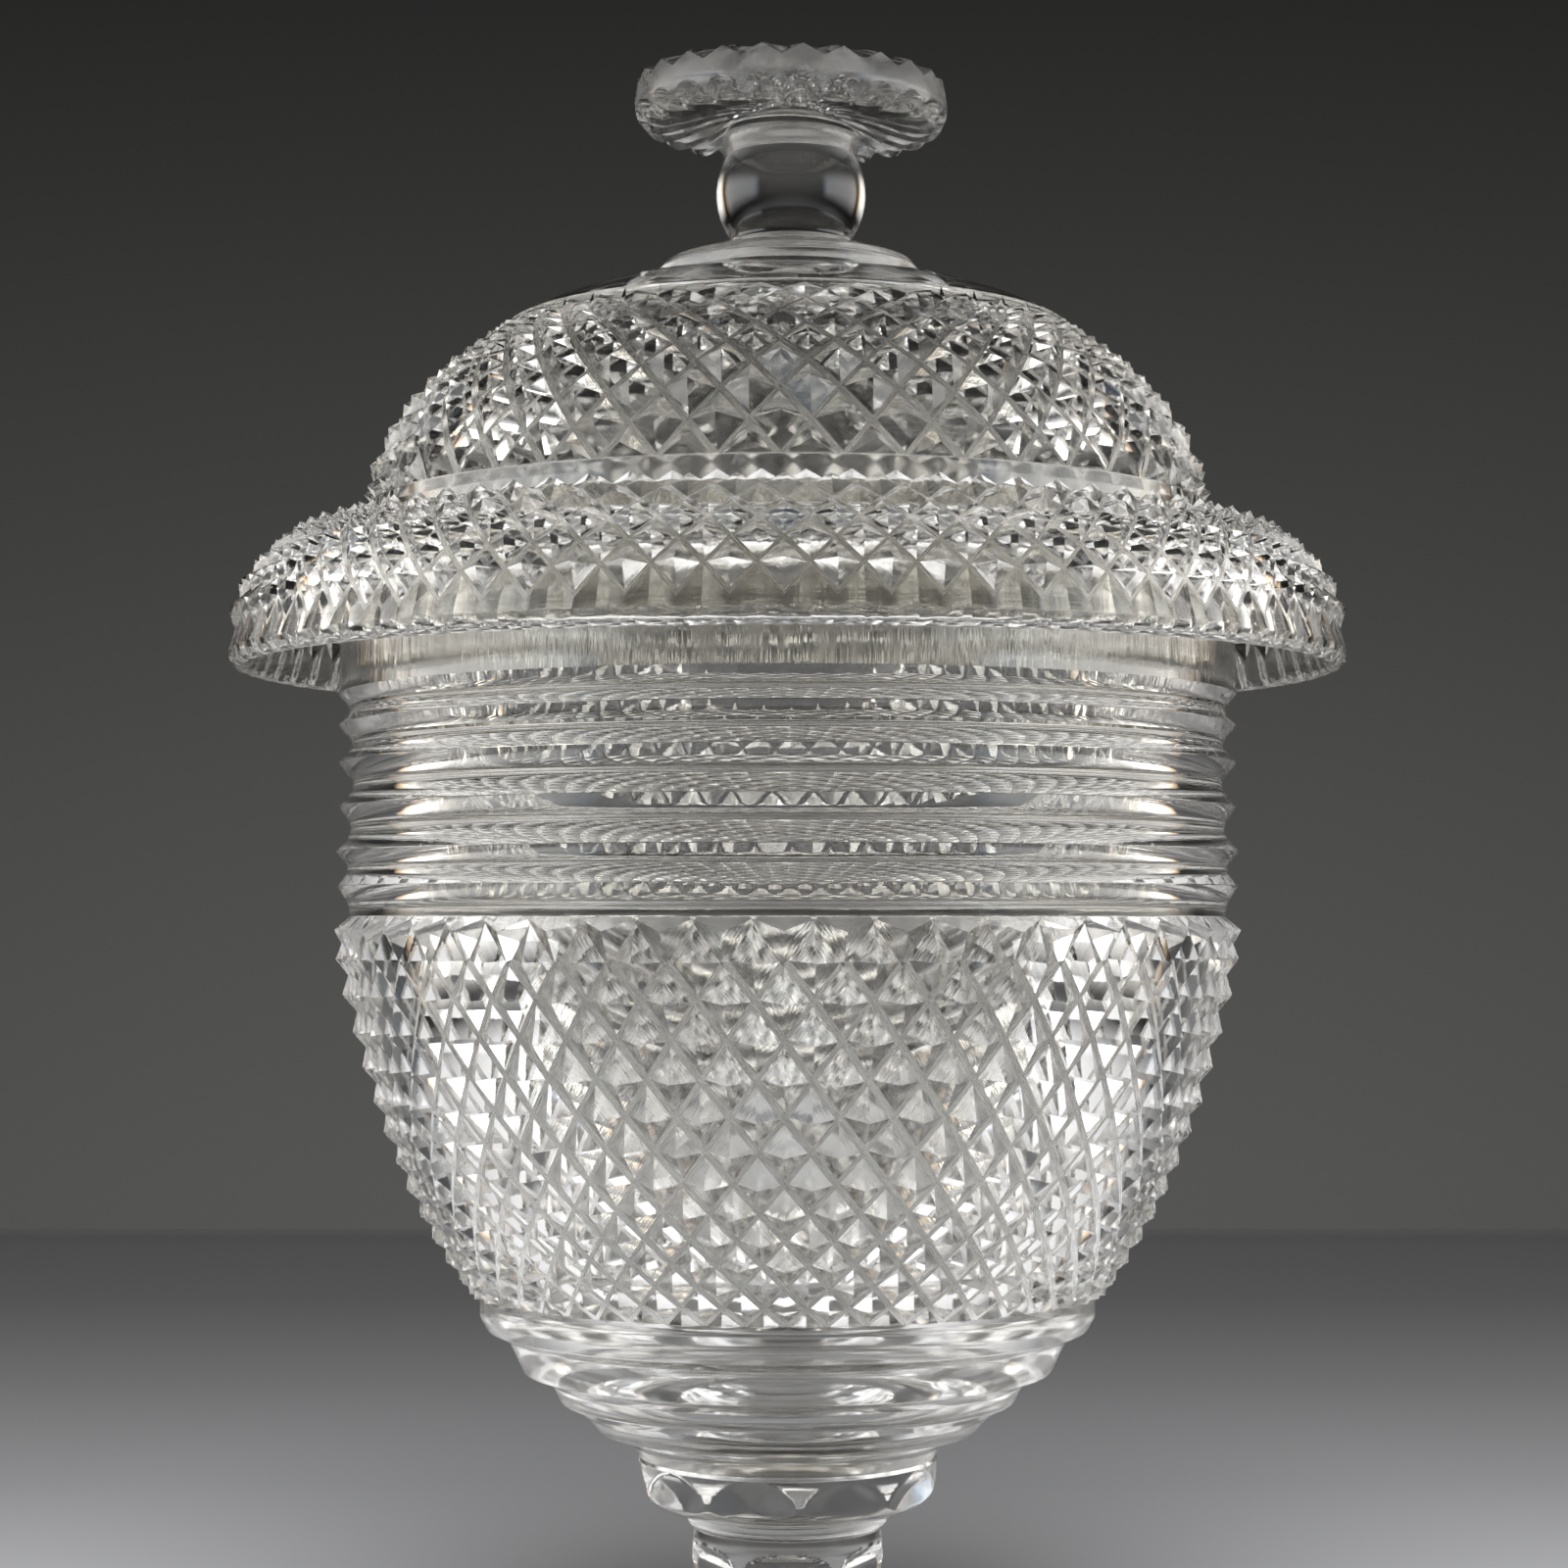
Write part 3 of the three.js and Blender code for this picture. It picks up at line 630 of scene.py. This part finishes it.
def make_rim():
    s = Skin()
    under = smooth_profile([
        (75.0, 222.0), (75.8, 224.4), (78.4, 226.1), (81.8, 226.0), (84.9, 223.9), (87.2, 220.2), (88.6, 215.0), (89.4, 210.6), (90.4, 208.7),
    ], 6)
    joint = s.round(*under[0], N_BODY)  # the neck's last ring
    low = s.turned(under[1:], N_RIM, PLAIN, phase=RIM_PHASE)
    s.band(joint, low[0], PLAIN)
    env = Envelope(RIM_ENVELOPE)
    stops = stops_from(RIM_ROW_STEPS)
    k = env.length / stops[-1]
    rows = diamond_rows(env, [x * k for x in stops], RIM_DIAMONDS)
    cut = diamonds(s, rows, RIM_DIAMONDS, RIM_PHASE, "points", "cut", 0.85, 0.6, border_high=(SEAT_R, Z_SEAT), jitter=0.07)
    # upright flutes between the lattice and the lip: hollow, with a ridge under each corner
    n, ang = cut["n"], cut["ang"]
    C = 8

    def flute_r(t, ridge, hollow):
        return ridge - hollow * (1 - (2 * t - 1) ** 2)

    edge_angles, lip_rows = [], []
    levels = [(93.2, 211.0, 0.62), (93.05, 209.9, 0.60), (92.6, 209.2, 0.55), (92.0, 208.7, 0.45), (91.3, 208.45, 0.3)]
    nick = rng.normal(0, 1, (len(levels), n // 2 * C))
    cols = []
    for f in range(n // 2):
        k0 = 2 * f  # the flute's middle
        for c in range(C):
            t = c / C
            cols.append((k0 - 1 + 2 * t, t, f))
    rings = []
    for i, (ridge, z, hollow) in enumerate(levels):
        ang_list, pts = [], []
        for m, (kk, t, f) in enumerate(cols):
            a = ang(kk)
            rough = 0.05 if i in (1, 2) else 0.02
            r = flute_r(t, ridge, hollow) + rough * nick[i, m]
            zz = z + rough * 0.8 * nick[i, (m * 7) % len(cols)]
            ang_list.append(a)
            pts.append((r * math.cos(a), r * math.sin(a), zz))
        rings.append(s.ring(ang_list, pts, i * 0.8))
    # from the zigzag down to the first ring
    total = len(cols)
    for f in range(n // 2):
        k0 = 2 * f
        W0, D, W1 = s.at(cut["waist"][(k0 - 1) % n]), s.at(cut["foot"][k0]), s.at(cut["waist"][(k0 + 1) % n])
        top = []
        for c in range(C + 1):
            t = c / C
            if c == 0:
                top.append(cut["waist"][(k0 - 1) % n])
            elif c == C:
                top.append(cut["waist"][(k0 + 1) % n])
            elif c == C // 2:
                top.append(cut["foot"][k0])
            else:
                p = W0 + (D - W0) * 2 * t if t < 0.5 else D + (W1 - D) * (2 * t - 1)
                top.append(s.point(p))
        off = (f * 7.3, f * 3.1)
        for c in range(C):
            b0, b1 = rings[0]["ids"][(f * C + c) % total], rings[0]["ids"][(f * C + c + 1) % total]
            p = [b0, b1, top[c + 1], top[c]]
            uv = []
            for i in p:
                x = s.at(i)
                d = (math.atan2(x[1], x[0]) - ang(k0) + math.pi) % TAU - math.pi
                uv.append((x[2] + off[0], d * 93 + off[1]))
            s.add(p, FACET, uv)
    for a, b in zip(rings[1:], rings):
        s.band(a, b, FACET)
    s.band(low[-1], rings[-1], PLAIN)
    seat = s.turned([(MOUTH_R + 0.3, Z_SEAT), (MOUTH_R, Z_SEAT - 0.3), (MOUTH_R, 226), (MOUTH_R, Z_NECK_TOP)], N_BODY, PLAIN)
    outer = s.round(SEAT_R - 0.3, Z_SEAT, N_RIM, phase=RIM_PHASE)
    s.band(cut["high"], outer, TURNED)
    s.band(outer, seat[0], TURNED)
    return s.object("turnover_rim_glass", CUT)


def facet_ring(a, count, phase, r, flat):
    step = TAU / count
    off = (a - math.radians(phase)) % step
    off = off - step if off > step / 2 else off
    return min(r, flat / math.cos(off))


def make_collar():
    s = Skin()
    n = 240
    rows = smooth_profile([(15.6, 66.0), (16.35, 66.6), (16.6, 67.4), (16.1, 68.2)], 4)
    rows += smooth_profile([(16.3, 68.4), (18.2, 68.8), (20.6, 69.5), (22.6, 70.5), (24.0, 71.6), (24.7, 72.9), (24.9, 74.4), (24.95, 75.3)], 8)[0:]
    rows += [(24.95, z) for z in (75.5, 75.8, 76.1, 76.4, 76.6, 76.8)] + fillet([(24.95, 76.85), (24.95, 77.4, 0.3), (24.7, 78.0)], 4)

    def shape(a, r, z):
        if 68.6 < z < 77.2:
            flat = 24.95 - (77.2 - z) * 0.30 if z > 71.2 else 23.15 - (71.2 - z) * 0.75
            return facet_ring(a, COLLAR_FACETS, COLLAR_PHASE, r, flat), z
        return r, z

    s.turned(rows, n, SOFT, phase=COLLAR_PHASE, shape=shape)
    return s.object("bowl_collar_glass", CUT, sharp=14)


def make_stem():
    s = Skin()
    n = 240
    apothem = [(21.0, 17.4), (22.6, 17.2), (24.0, 15.9), (26.0, 15.0), (29.0, 14.1), (35.0, 13.0), (45.0, 12.5), (55.0, 13.0), (60.0, 13.6), (62.5, 14.5), (64.2, 15.9), (66.0, 17.0)]
    roundr = [(21.0, 17.0), (23.0, 17.2), (26.0, 17.2), (29.0, 17.0), (35.0, 16.6), (45.0, 16.2), (55.0, 16.0), (60.0, 15.9), (64.0, 15.85), (66.0, 15.6)]
    az, av = zip(*apothem)
    rz, rv = zip(*roundr)
    zs = list(np.linspace(21, 30, 28)) + list(np.linspace(31, 57, 20)) + list(np.linspace(58, 66, 26))
    rows = [(float(np.interp(z, rz, rv)), float(z)) for z in zs]
    s.turned(rows, n, SOFT, phase=30, shape=lambda a, r, z: (facet_ring(a, STEM_FLATS, 30, r, float(np.interp(z, az, av))), z))
    return s.object("stem_glass", CUT, sharp=14)


def make_foot():
    s = Skin()
    per = 12
    n = FOOT_FLUTES * per
    # radius and height on a ridge, radius and height in the middle of a flute
    rows = [
        ((51.0, 0.0), (50.4, 0.0)), ((52.2, 0.25), (51.4, 0.25)), ((52.8, 1.0), (51.9, 1.0)), ((53.0, 2.8), (52.0, 2.7)), ((52.95, 4.5), (52.0, 4.1)),
        ((52.5, 5.2), (51.6, 4.75)), ((51.8, 5.7), (50.9, 5.0)), ((47.0, 7.1), (47.0, 6.1)), ((42.0, 8.7), (42.0, 7.6)), ((37.0, 10.2), (37.0, 9.3)),
        ((33.0, 11.5), (33.0, 10.9)), ((30.0, 12.6), (30.0, 12.4)), ((28.4, 13.2), (28.4, 13.2)),
    ]
    rings, arc = [], 0.0
    for i, ((r1, z1), (r2, z2)) in enumerate(rows):
        ang, pts = [], []
        for m in range(n):
            t = (m % per) / per
            h = 1 - (2 * t - 1) ** 2  # 0 on a ridge, 1 in the middle of a flute
            r, z = r1 + (r2 - r1) * h, z1 + (z2 - z1) * h
            a = math.radians(90 + 360 / (2 * FOOT_FLUTES)) + TAU * m / n
            ang.append(a)
            pts.append((r * math.cos(a), r * math.sin(a), z))
        rings.append(s.ring(ang, pts, arc))
        arc += 3
    for a, b in zip(rings, rings[1:]):
        s.band(a, b, TURNED)
    top = fillet([(27.6, 13.5), (26.6, 14.8, 0.5), (23.0, 15.4, 0.5), (21.7, 17.4, 0.5), (18.9, 18.4, 0.5), (17.5, 19.6, 0.5), (17.0, Z_FOOT_TOP)], 4)
    up = s.turned(top, 240, PLAIN, phase=30)
    s.band(rings[-1], up[0], PLAIN)
    # underside: a ground ring, and a star of shallow V cuts inside it
    star = [(48.0, 0.0, 0.0), (46.5, 0.3, 0.05), (40.0, 0.85, 0.3), (28.0, 0.95, 0.4), (14.0, 0.9, 0.5), (3.0, 0.85, 0.8)]
    last = rings[0]
    for r, deep, shallow in star:
        ang, pts = [], []
        for m in range(n):
            t = (m % per) / per
            h = abs(2 * t - 1)
            a = math.radians(90 + 360 / (2 * FOOT_FLUTES)) + TAU * m / n
            ang.append(a)
            pts.append((r * math.cos(a), r * math.sin(a), shallow + (deep - shallow) * h))
        ring = s.ring(ang, pts, 60 - r)
        s.band(ring, last, FACET)
        last = ring
    s.pole(last, 0.85, FACET, True)
    return s.object("foot_glass", CUT, sharp=14)


# ------------------------------------------------------------------------------------------------ cover
def make_dome():
    s = Skin()
    z0 = Z_SEAT + SEAT_GAP
    zf = z0 - FLANGE_DEPTH
    inner = smooth_profile([(6, 268.35), (16, 268.0), (32, 266.2), (44.5, 262.4), (53.0, 256.8), (58.8, 249.5), (62.0, 241.5), (62.8, 234)], 6)
    inner += fillet([(62.75, 229), (62.6, zf + 0.6), (63.3, zf, 0.4), (66.1, zf, 0.4), (FLANGE_R, zf + 0.7, 0.4), (FLANGE_R, 226), (FLANGE_R, z0 - 0.4)], 3)[0:]
    ins = s.turned(inner, N_COVER, BLOWN, phase=DOME_PHASE)
    s.pole(ins[0], 268.4, BLOWN, True)
    band = s.turned(fillet([(67.1, z0), (69.5, z0), (70.3, z0 + 0.6, 0.4), (70.35, z0 + 2), (70.35, 234.5), (70.2, 235.9)], 3), N_COVER, SOFT, phase=DOME_PHASE)
    s.band(ins[-1], band[0], SOFT)
    env = Envelope(DOME_ENVELOPE)
    stops = stops_from(DOME_ROW_STEPS)
    k = env.length / stops[-1]
    rows = diamond_rows(env, [x * k for x in stops], DOME_DIAMONDS)
    cut = diamonds(s, rows, DOME_DIAMONDS, DOME_PHASE, "cut", "cut", 1.15, 0.8)
    cut["low"]["s"] = band[-1]["s"] + 1
    s.band(band[-1], cut["low"], SOFT)
    top = s.turned(fillet([(47.6, 266.5), (46.6, 267.1, 0.3), (42.5, 269.1), (38.1, 270.8), (34, 272.1), (30.2, 273.05), (26, 273.7), (22.0, Z_DOME_TOP)], 3), N_COVER, PLAIN, phase=DOME_PHASE)
    cut["high"]["s"] = -1
    s.band(cut["high"], top[0], TURNED)
    return s, top[-1]


def finial_bend(pts):
    """The finial stands a little off the axis and leans."""
    x, y, z = pts.T.copy()
    f = np.clip((z - 275.5) / 4.5, 0, 1)
    x2 = x + FINIAL_SHIFT * f * f * (3 - 2 * f)
    g = np.clip((z - 298) / 4, 0, 1)
    z2 = z - g * g * (3 - 2 * g) * FINIAL_LEAN * x
    return np.stack([x2, y, z2], 1)


def make_pad():
    s = Skin()
    # the pad takes the finial's darkest painted-shade tint
    s.turned(fillet([(22.0, Z_DOME_TOP), (22.15, 275.2, 0.6), (22.05, 276.9, 0.8), (21.0, 278.2, 1.0), (18.4, 279.15, 2), (14.2, 279.7, 1), (11.3, 279.75, 0.5), (10.7, Z_PAD_TOP)], 5), N_COVER, BAND, phase=DOME_PHASE)
    return s.object("finial_pad_glass", FINIAL, bend=finial_bend)


def make_knop():
    s = Skin()
    neck = [(10.7, Z_PAD_TOP), (10.95, 280.5), (10.8, 281.1), (10.35, 281.6), (10.15, 282.3), (10.3, 283.0)]
    prof = smooth_profile(neck, 4)[:-1]
    centre, radius = 290.2, 12.7
    for i in range(33):
        z = 283.2 + (Z_KNOP_TOP - 283.2) * i / 32
        prof.append((math.sqrt(radius**2 - (z - centre) ** 2), z))
    s.turned(prof, N_COVER, PLAIN, phase=DOME_PHASE)
    return s.object("finial_knop_glass", FINIAL, sharp=30, bend=finial_bend)


def make_mushroom():
    """A domed bead on the knop, an underside of hollow flutes with sharp ridges and round outer ends, a smooth side band whose
    upper edge is a low zigzag, and a star of shallow V cuts on top."""
    s = Skin()
    per = 20
    n = FINIAL_FLUTES * per
    r0 = math.sqrt(12.7**2 - (Z_KNOP_TOP - 290.2) ** 2)
    joint = s.round(r0, Z_KNOP_TOP, N_COVER, 0.0, DOME_PHASE)  # the knop's last ring
    # the bead takes the finial's darkest painted-shade tint
    bead = s.turned(smooth_profile([
        (11.3, 297.4), (11.75, 298.8), (11.6, 300.1), (10.7, 301.3), (8.9, 302.3), (6.9, 302.9), (5.6, 303.5), (5.4, 304.2),
    ], 5), n, BAND, phase=FINIAL_PHASE)
    s.band(joint, bead[0], BAND)
    line = smooth_profile([
        (5.6, 304.5), (7.5, 304.3), (10.6, 303.7), (14, 302.8), (18, 301.6), (21.4, 300.8), (23.8, 300.9), (25.4, 301.8), (26.25, 303.1),
        (26.6, 304.6),
    ], 8)
    arcs = [0.0]
    for a, b in zip(line, line[1:]):
        arcs.append(arcs[-1] + math.dist(a, b))

    def on_line(x):
        r, z = np.interp(x, arcs, [p[0] for p in line]), np.interp(x, arcs, [p[1] for p in line])
        e = 0.15
        dr = np.interp(x + e, arcs, [p[0] for p in line]) - np.interp(x - e, arcs, [p[0] for p in line])
        dz = np.interp(x + e, arcs, [p[1] for p in line]) - np.interp(x - e, arcs, [p[1] for p in line])
        k = math.hypot(dr, dz) or 1
        return r, z, -dz / k, dr / k  # the last two point into the glass

    def ring(place, arc):
        """place(u) gives (r, z); u is 0 in the middle of a flute and -1 or 1 on the ridges beside it."""
        ang, pts = [], []
        for m in range(n):
            u = ((m / per + 0.5) % 1) * 2 - 1
            r, z = place(u)
            a = math.radians(FINIAL_PHASE) + TAU * m / n
            ang.append(a)
            pts.append((r * math.cos(a), r * math.sin(a), z))
        return s.ring(ang, pts, arc)

    end = arcs[-1] - 0.3
    end_at = lambda u: end - 3.1 * (1 - math.sqrt(max(0.0, 1 - u * u)))

    def flute(t):
        def place(u):
            last_s = end_at(u)
            x = t * last_s
            r, z, nr, nz = on_line(x)
            deep = float(np.interp(r, [5.6, 9, 14, 20, 26.6], [0.25, 0.8, 1.5, 2.2, 2.4]))
            d = deep * (1 - abs(u) ** 2.2) ** 1.15 * min(1.0, (last_s - x) / 1.7) ** 0.6
            return r + d * nr, z + d * nz
        return place

    J = 30
    stops = [1 - (1 - k / J) ** 1.35 for k in range(J + 1)]
    rings = [ring(flute(t), t * end) for t in stops]
    s.band(bead[-1], rings[0], PLAIN)
    # the underside flutes take the finial's darker painted-shade tint
    for a, b in zip(rings, rings[1:]):
        s.band(a, b, TURNED)

    # side band from the flutes' round ends up to the zigzag
    top_at = lambda u: (26.0 + 0.3 * abs(u), 309.3 - 1.9 * abs(u))
    last = rings[-1]
    for k in range(1, 10):
        f = k / 9

        def place(u, f=f):
            x0 = end_at(u)
            total = (arcs[-1] - x0) + 4.6
            x = x0 + f * total
            if x <= arcs[-1]:
                r, z, _, _ = on_line(x)
                return r, z
            g = (x - arcs[-1]) / 4.6
            rt, zt = top_at(u)
            return 26.6 + (rt - 26.6) * g**1.6, 304.6 + (zt - 304.6) * g
        now = ring(place, end + f * 5)
        s.band(last, now, SATIN)
        last = now
    for k, (ra, za, rb, zb) in enumerate([(25.6, 309.45, 25.8, 307.6), (22, 310.5, 22, 309.5), (17, 311.5, 17, 311.1), (11, 312.7, 11, 312.55), (4, 313.7, 4, 313.68)]):
        now = ring(lambda u: (ra + (rb - ra) * abs(u), za + (zb - za) * abs(u)), end + 6 + 5 * k)
        s.band(last, now, FACET)
        last = now
    s.pole(last, Z_TOP, FACET, False)
    return s.object("finial_mushroom_glass", FINIAL, sharp=16, bend=finial_bend)


# ------------------------------------------------------------------------------------------------ pieces on their bodies
dome_skin, _ = make_dome()
pieces = [
    (make_bowl(), "vessel", "bowl", "cut_glass"),
    (make_rim(), "vessel", "turnover_rim", "cut_glass"),
    (make_collar(), "vessel", "bowl_collar", "polished_glass"),
    (make_stem(), "vessel", "stem", "polished_glass"),
    (make_foot(), "vessel", "foot", "cut_glass"),
    (dome_skin.object("cover_dome_glass", CUT), "cover", "cover_dome", "cut_glass"),
    (make_pad(), "cover", "finial_pad", "polished_glass"),
    (make_knop(), "cover", "finial_knop", "polished_glass"),
    (make_mushroom(), "cover", "finial_mushroom", "cut_glass"),
]
for piece, body, node, slot in pieces:
    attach(piece, body)
    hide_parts(node)

# ------------------------------------------------------------------------------------------------ stage
class Nodes:
    """Short ways to write a node tree."""

    def __init__(self, tree):
        self.tree = tree
        tree.nodes.clear()

    def new(self, kind, **sockets):
        n = self.tree.nodes.new(kind)
        for name, value in sockets.items():
            self.put(n.inputs[name.replace("_", " ")], value)
        return n

    def put(self, socket, value):
        if isinstance(value, bpy.types.NodeSocket):
            self.tree.links.new(value, socket)
        else:
            socket.default_value = value

    def math(self, op, a, b=0.0, clamp=False):
        n = self.tree.nodes.new("ShaderNodeMath")
        n.operation, n.use_clamp = op, clamp
        self.put(n.inputs[0], a)
        self.put(n.inputs[1], b)
        return n.outputs[0]

    def smooth(self, x, lo, hi, to_lo=0.0, to_hi=1.0):
        n = self.tree.nodes.new("ShaderNodeMapRange")
        n.interpolation_type = "SMOOTHSTEP"
        self.put(n.inputs["Value"], x)
        for name, v in (("From Min", lo), ("From Max", hi), ("To Min", to_lo), ("To Max", to_hi)):
            n.inputs[name].default_value = v
        return n.outputs["Result"]

    def ramp(self, x, stops):
        n = self.tree.nodes.new("ShaderNodeValToRGB")
        self.put(n.inputs["Fac"], x)
        e = n.color_ramp.elements
        while len(e) < len(stops):
            e.new(0.5)
        for k, (place, colour) in enumerate(stops):
            if not isinstance(colour, tuple):
                colour = (colour,) * 3
            e[k].position = place
            e[k].color = (*colour, 1)
        return n.outputs["Color"]

    def mix(self, f, a, b, blend="MIX"):
        n = self.tree.nodes.new("ShaderNodeMix")
        n.data_type, n.blend_type = "RGBA", blend
        self.put(n.inputs[0], f)
        self.put(n.inputs[6], a)
        self.put(n.inputs[7], b)
        return n.outputs[2]


FLOOR_R, FLOOR_BACK = 1.9, 1.19
mesh = bpy.data.meshes.new("floor")
N = 128
# a round table top with a straight far edge
mesh.from_pydata(
    [(FLOOR_R * math.cos(TAU * k / N), min(FLOOR_R * math.sin(TAU * k / N), FLOOR_BACK), -0.0002) for k in range(N)], [], [list(range(N))]
)
pale_floor_painted_pool = bpy.data.materials.new("floor_pale_painted_pool")
pale_floor_painted_pool.use_nodes = True
g = Nodes(pale_floor_painted_pool.node_tree)
place = g.new("ShaderNodeSeparateXYZ", Vector=g.new("ShaderNodeTexCoord").outputs["Object"])
# painted light: the table top's colour is brightest round the urn and darker towards its edges, a pool of light painted
# on it over the lamps' real light; near the far edge it lightens a little again
shade = g.math("DIVIDE", g.math("ADD", place.outputs["Y"], 0.8), 2.0)
colour = g.ramp(shade, [(k, (v, v * 1.008, v * 1.045)) for k, v in [
    (0.0, 0.24), (0.18, 0.36), (0.27, 0.78), (0.38, 0.80), (0.475, 0.68), (0.54, 0.47), (0.61, 0.365), (0.715, 0.29), (0.835, 0.252),
    (0.90, 0.275), (0.946, 0.30), (0.972, 0.30), (0.9905, 0.37),
]])
# painted light: the pool also darkens the table's colour towards its sides
wide = g.smooth(g.math("ABSOLUTE", place.outputs["X"]), 0.38, 0.85, 1.0, 0.28)
colour = g.mix(1.0, colour, g.new("ShaderNodeCombineXYZ", X=wide, Y=wide, Z=wide).outputs[0], "MULTIPLY")
b = g.new("ShaderNodeBsdfPrincipled", Base_Color=colour, Roughness=0.6)
b.inputs["Specular IOR Level"].default_value = 0.2
g.new("ShaderNodeOutputMaterial", Surface=b.outputs["BSDF"])
mesh.materials.append(pale_floor_painted_pool)
floor = bpy.data.objects.new("floor", mesh)
bpy.context.scene.collection.objects.link(floor)

# the room: behind the urn a grey backdrop that gets darker upwards, in front a lighter room between dark sides
world = bpy.data.worlds.new("studio")
bpy.context.scene.world = world
world.use_nodes = True
g = Nodes(world.node_tree)
way = g.new("ShaderNodeSeparateXYZ", Vector=g.new("ShaderNodeTexCoord").outputs["Generated"])
X, Y, Z = (way.outputs[k] for k in "XYZ")
height = g.math("ADD", Z, 0.35)
warm = lambda v: (v, v * 0.995, v * 0.965)
back = g.ramp(height, [(k, warm(v)) for k, v in [
    (0.0, 0.095), (0.269, 0.093), (0.331, 0.084), (0.394, 0.073), (0.456, 0.058), (0.516, 0.045), (0.575, 0.032), (0.63, 0.0215),
    (0.72, 0.013), (1.0, 0.025),
]])
far = g.math("MAXIMUM", 0.3, g.math("SUBTRACT", 1.0, g.math("MULTIPLY", g.math("MULTIPLY", X, X), 1.8)))
back = g.mix(1.0, back, g.new("ShaderNodeCombineXYZ", X=far, Y=far, Z=far).outputs[0], "MULTIPLY")
ahead = g.ramp(height, [(k, (v, v * 0.975, v * 0.93)) for k, v in [
    (0.0, 0.08), (0.35, FRONT_LOW), (0.5, FRONT_MID), (0.8, FRONT_HIGH), (1.0, FRONT_TOP),
]])
sides = g.smooth(g.math("ABSOLUTE", X), 0.45, 0.85, 1.0, 0.55)
ahead = g.mix(1.0, ahead, g.new("ShaderNodeCombineXYZ", X=sides, Y=sides, Z=sides).outputs[0], "MULTIPLY")
colour = g.mix(g.smooth(Y, -0.45, 0.25), ahead, back)
g.new("ShaderNodeOutputWorld", Surface=g.new("ShaderNodeBackground", Color=colour, Strength=1.0).outputs[0])


def softbox(name, centre, size, toward, radiance, mirror, edge=0.16):
    """A studio softbox, brightest in its middle; its edges fall off softly, warm on one side and cool on the other."""
    light = bpy.data.lights.new(name, "AREA")
    light.shape = "RECTANGLE"
    light.size, light.size_y = size
    light.energy = radiance * math.pi * size[0] * size[1]
    light.use_nodes = True
    g = Nodes(light.node_tree)
    uv = g.new("ShaderNodeSeparateXYZ", Vector=g.new("ShaderNodeNewGeometry").outputs["Parametric"])
    u, v = uv.outputs["X"], uv.outputs["Y"]
    if mirror:
        u = g.math("SUBTRACT", 1.0, u)
    across = g.ramp(u, [(0.0, (0, 0, 0)), (0.35 * edge, (0.42, 0.31, 0.21)), (edge, (1, 0.97, 0.92)), (0.5, (1, 1, 1)),
                        (1 - edge, (0.93, 0.97, 1)), (1 - 0.35 * edge, (0.22, 0.31, 0.44)), (1.0, (0, 0, 0))])
    up = g.math("MULTIPLY", g.smooth(v, 0.03, 0.43), g.smooth(v, 0.60, 1.0, 1.0, 0.0))
    e = g.new("ShaderNodeEmission", Color=across, Strength=up)
    g.new("ShaderNodeOutputLight", Surface=e.outputs[0])
    o = bpy.data.objects.new(name, light)
    bpy.context.scene.collection.objects.link(o)
    d = Vector(toward) - Vector(centre)
    o.location = centre
    o.rotation_euler = d.to_track_quat("-Z", "Y").to_euler()
    o.visible_camera = False
    return o


softbox("softbox_left", (-0.86, -0.06, 0.37), (1.34, 0.74), (0, 0.0, 0.29), SOFTBOX, False)
softbox("softbox_right", (0.86, -0.06, 0.37), (1.34, 0.74), (0, 0.0, 0.29), SOFTBOX, True)

# lights the table from over the camera; the glass doesn't show it
light = bpy.data.lights.new("table_light", "AREA")
light.shape, light.size, light.energy = "DISK", 0.5, TABLE_LIGHT
o = bpy.data.objects.new("table_light", light)
bpy.context.scene.collection.objects.link(o)
o.location = (0, -0.75, 0.85)
o.rotation_euler = (Vector((0, -0.2, 0)) - o.location).to_track_quat("-Z", "Y").to_euler()
o.visible_camera = o.visible_glossy = o.visible_transmission = False

# ------------------------------------------------------------------------------------------------ camera
cam = bpy.data.cameras.new("camera")
cam.lens, cam.sensor_width = 72.6, 36.0
cam.sensor_fit = "HORIZONTAL"
camera = bpy.data.objects.new("camera", cam)
bpy.context.scene.collection.objects.link(camera)
camera.location = (-0.00058, -0.53333, 0.167)
camera.rotation_euler = (math.radians(90) + math.atan(138.8 / 3226.7), 0, 0)
bpy.context.scene.camera = camera
cam.clip_start = 0.01

scene = bpy.context.scene
scene.view_settings.view_transform = "Standard"
scene.cycles.max_bounces = 24
scene.cycles.transmission_bounces = 24
scene.cycles.glossy_bounces = 16
scene.cycles.diffuse_bounces = 3
scene.cycles.blur_glossy = 0.3
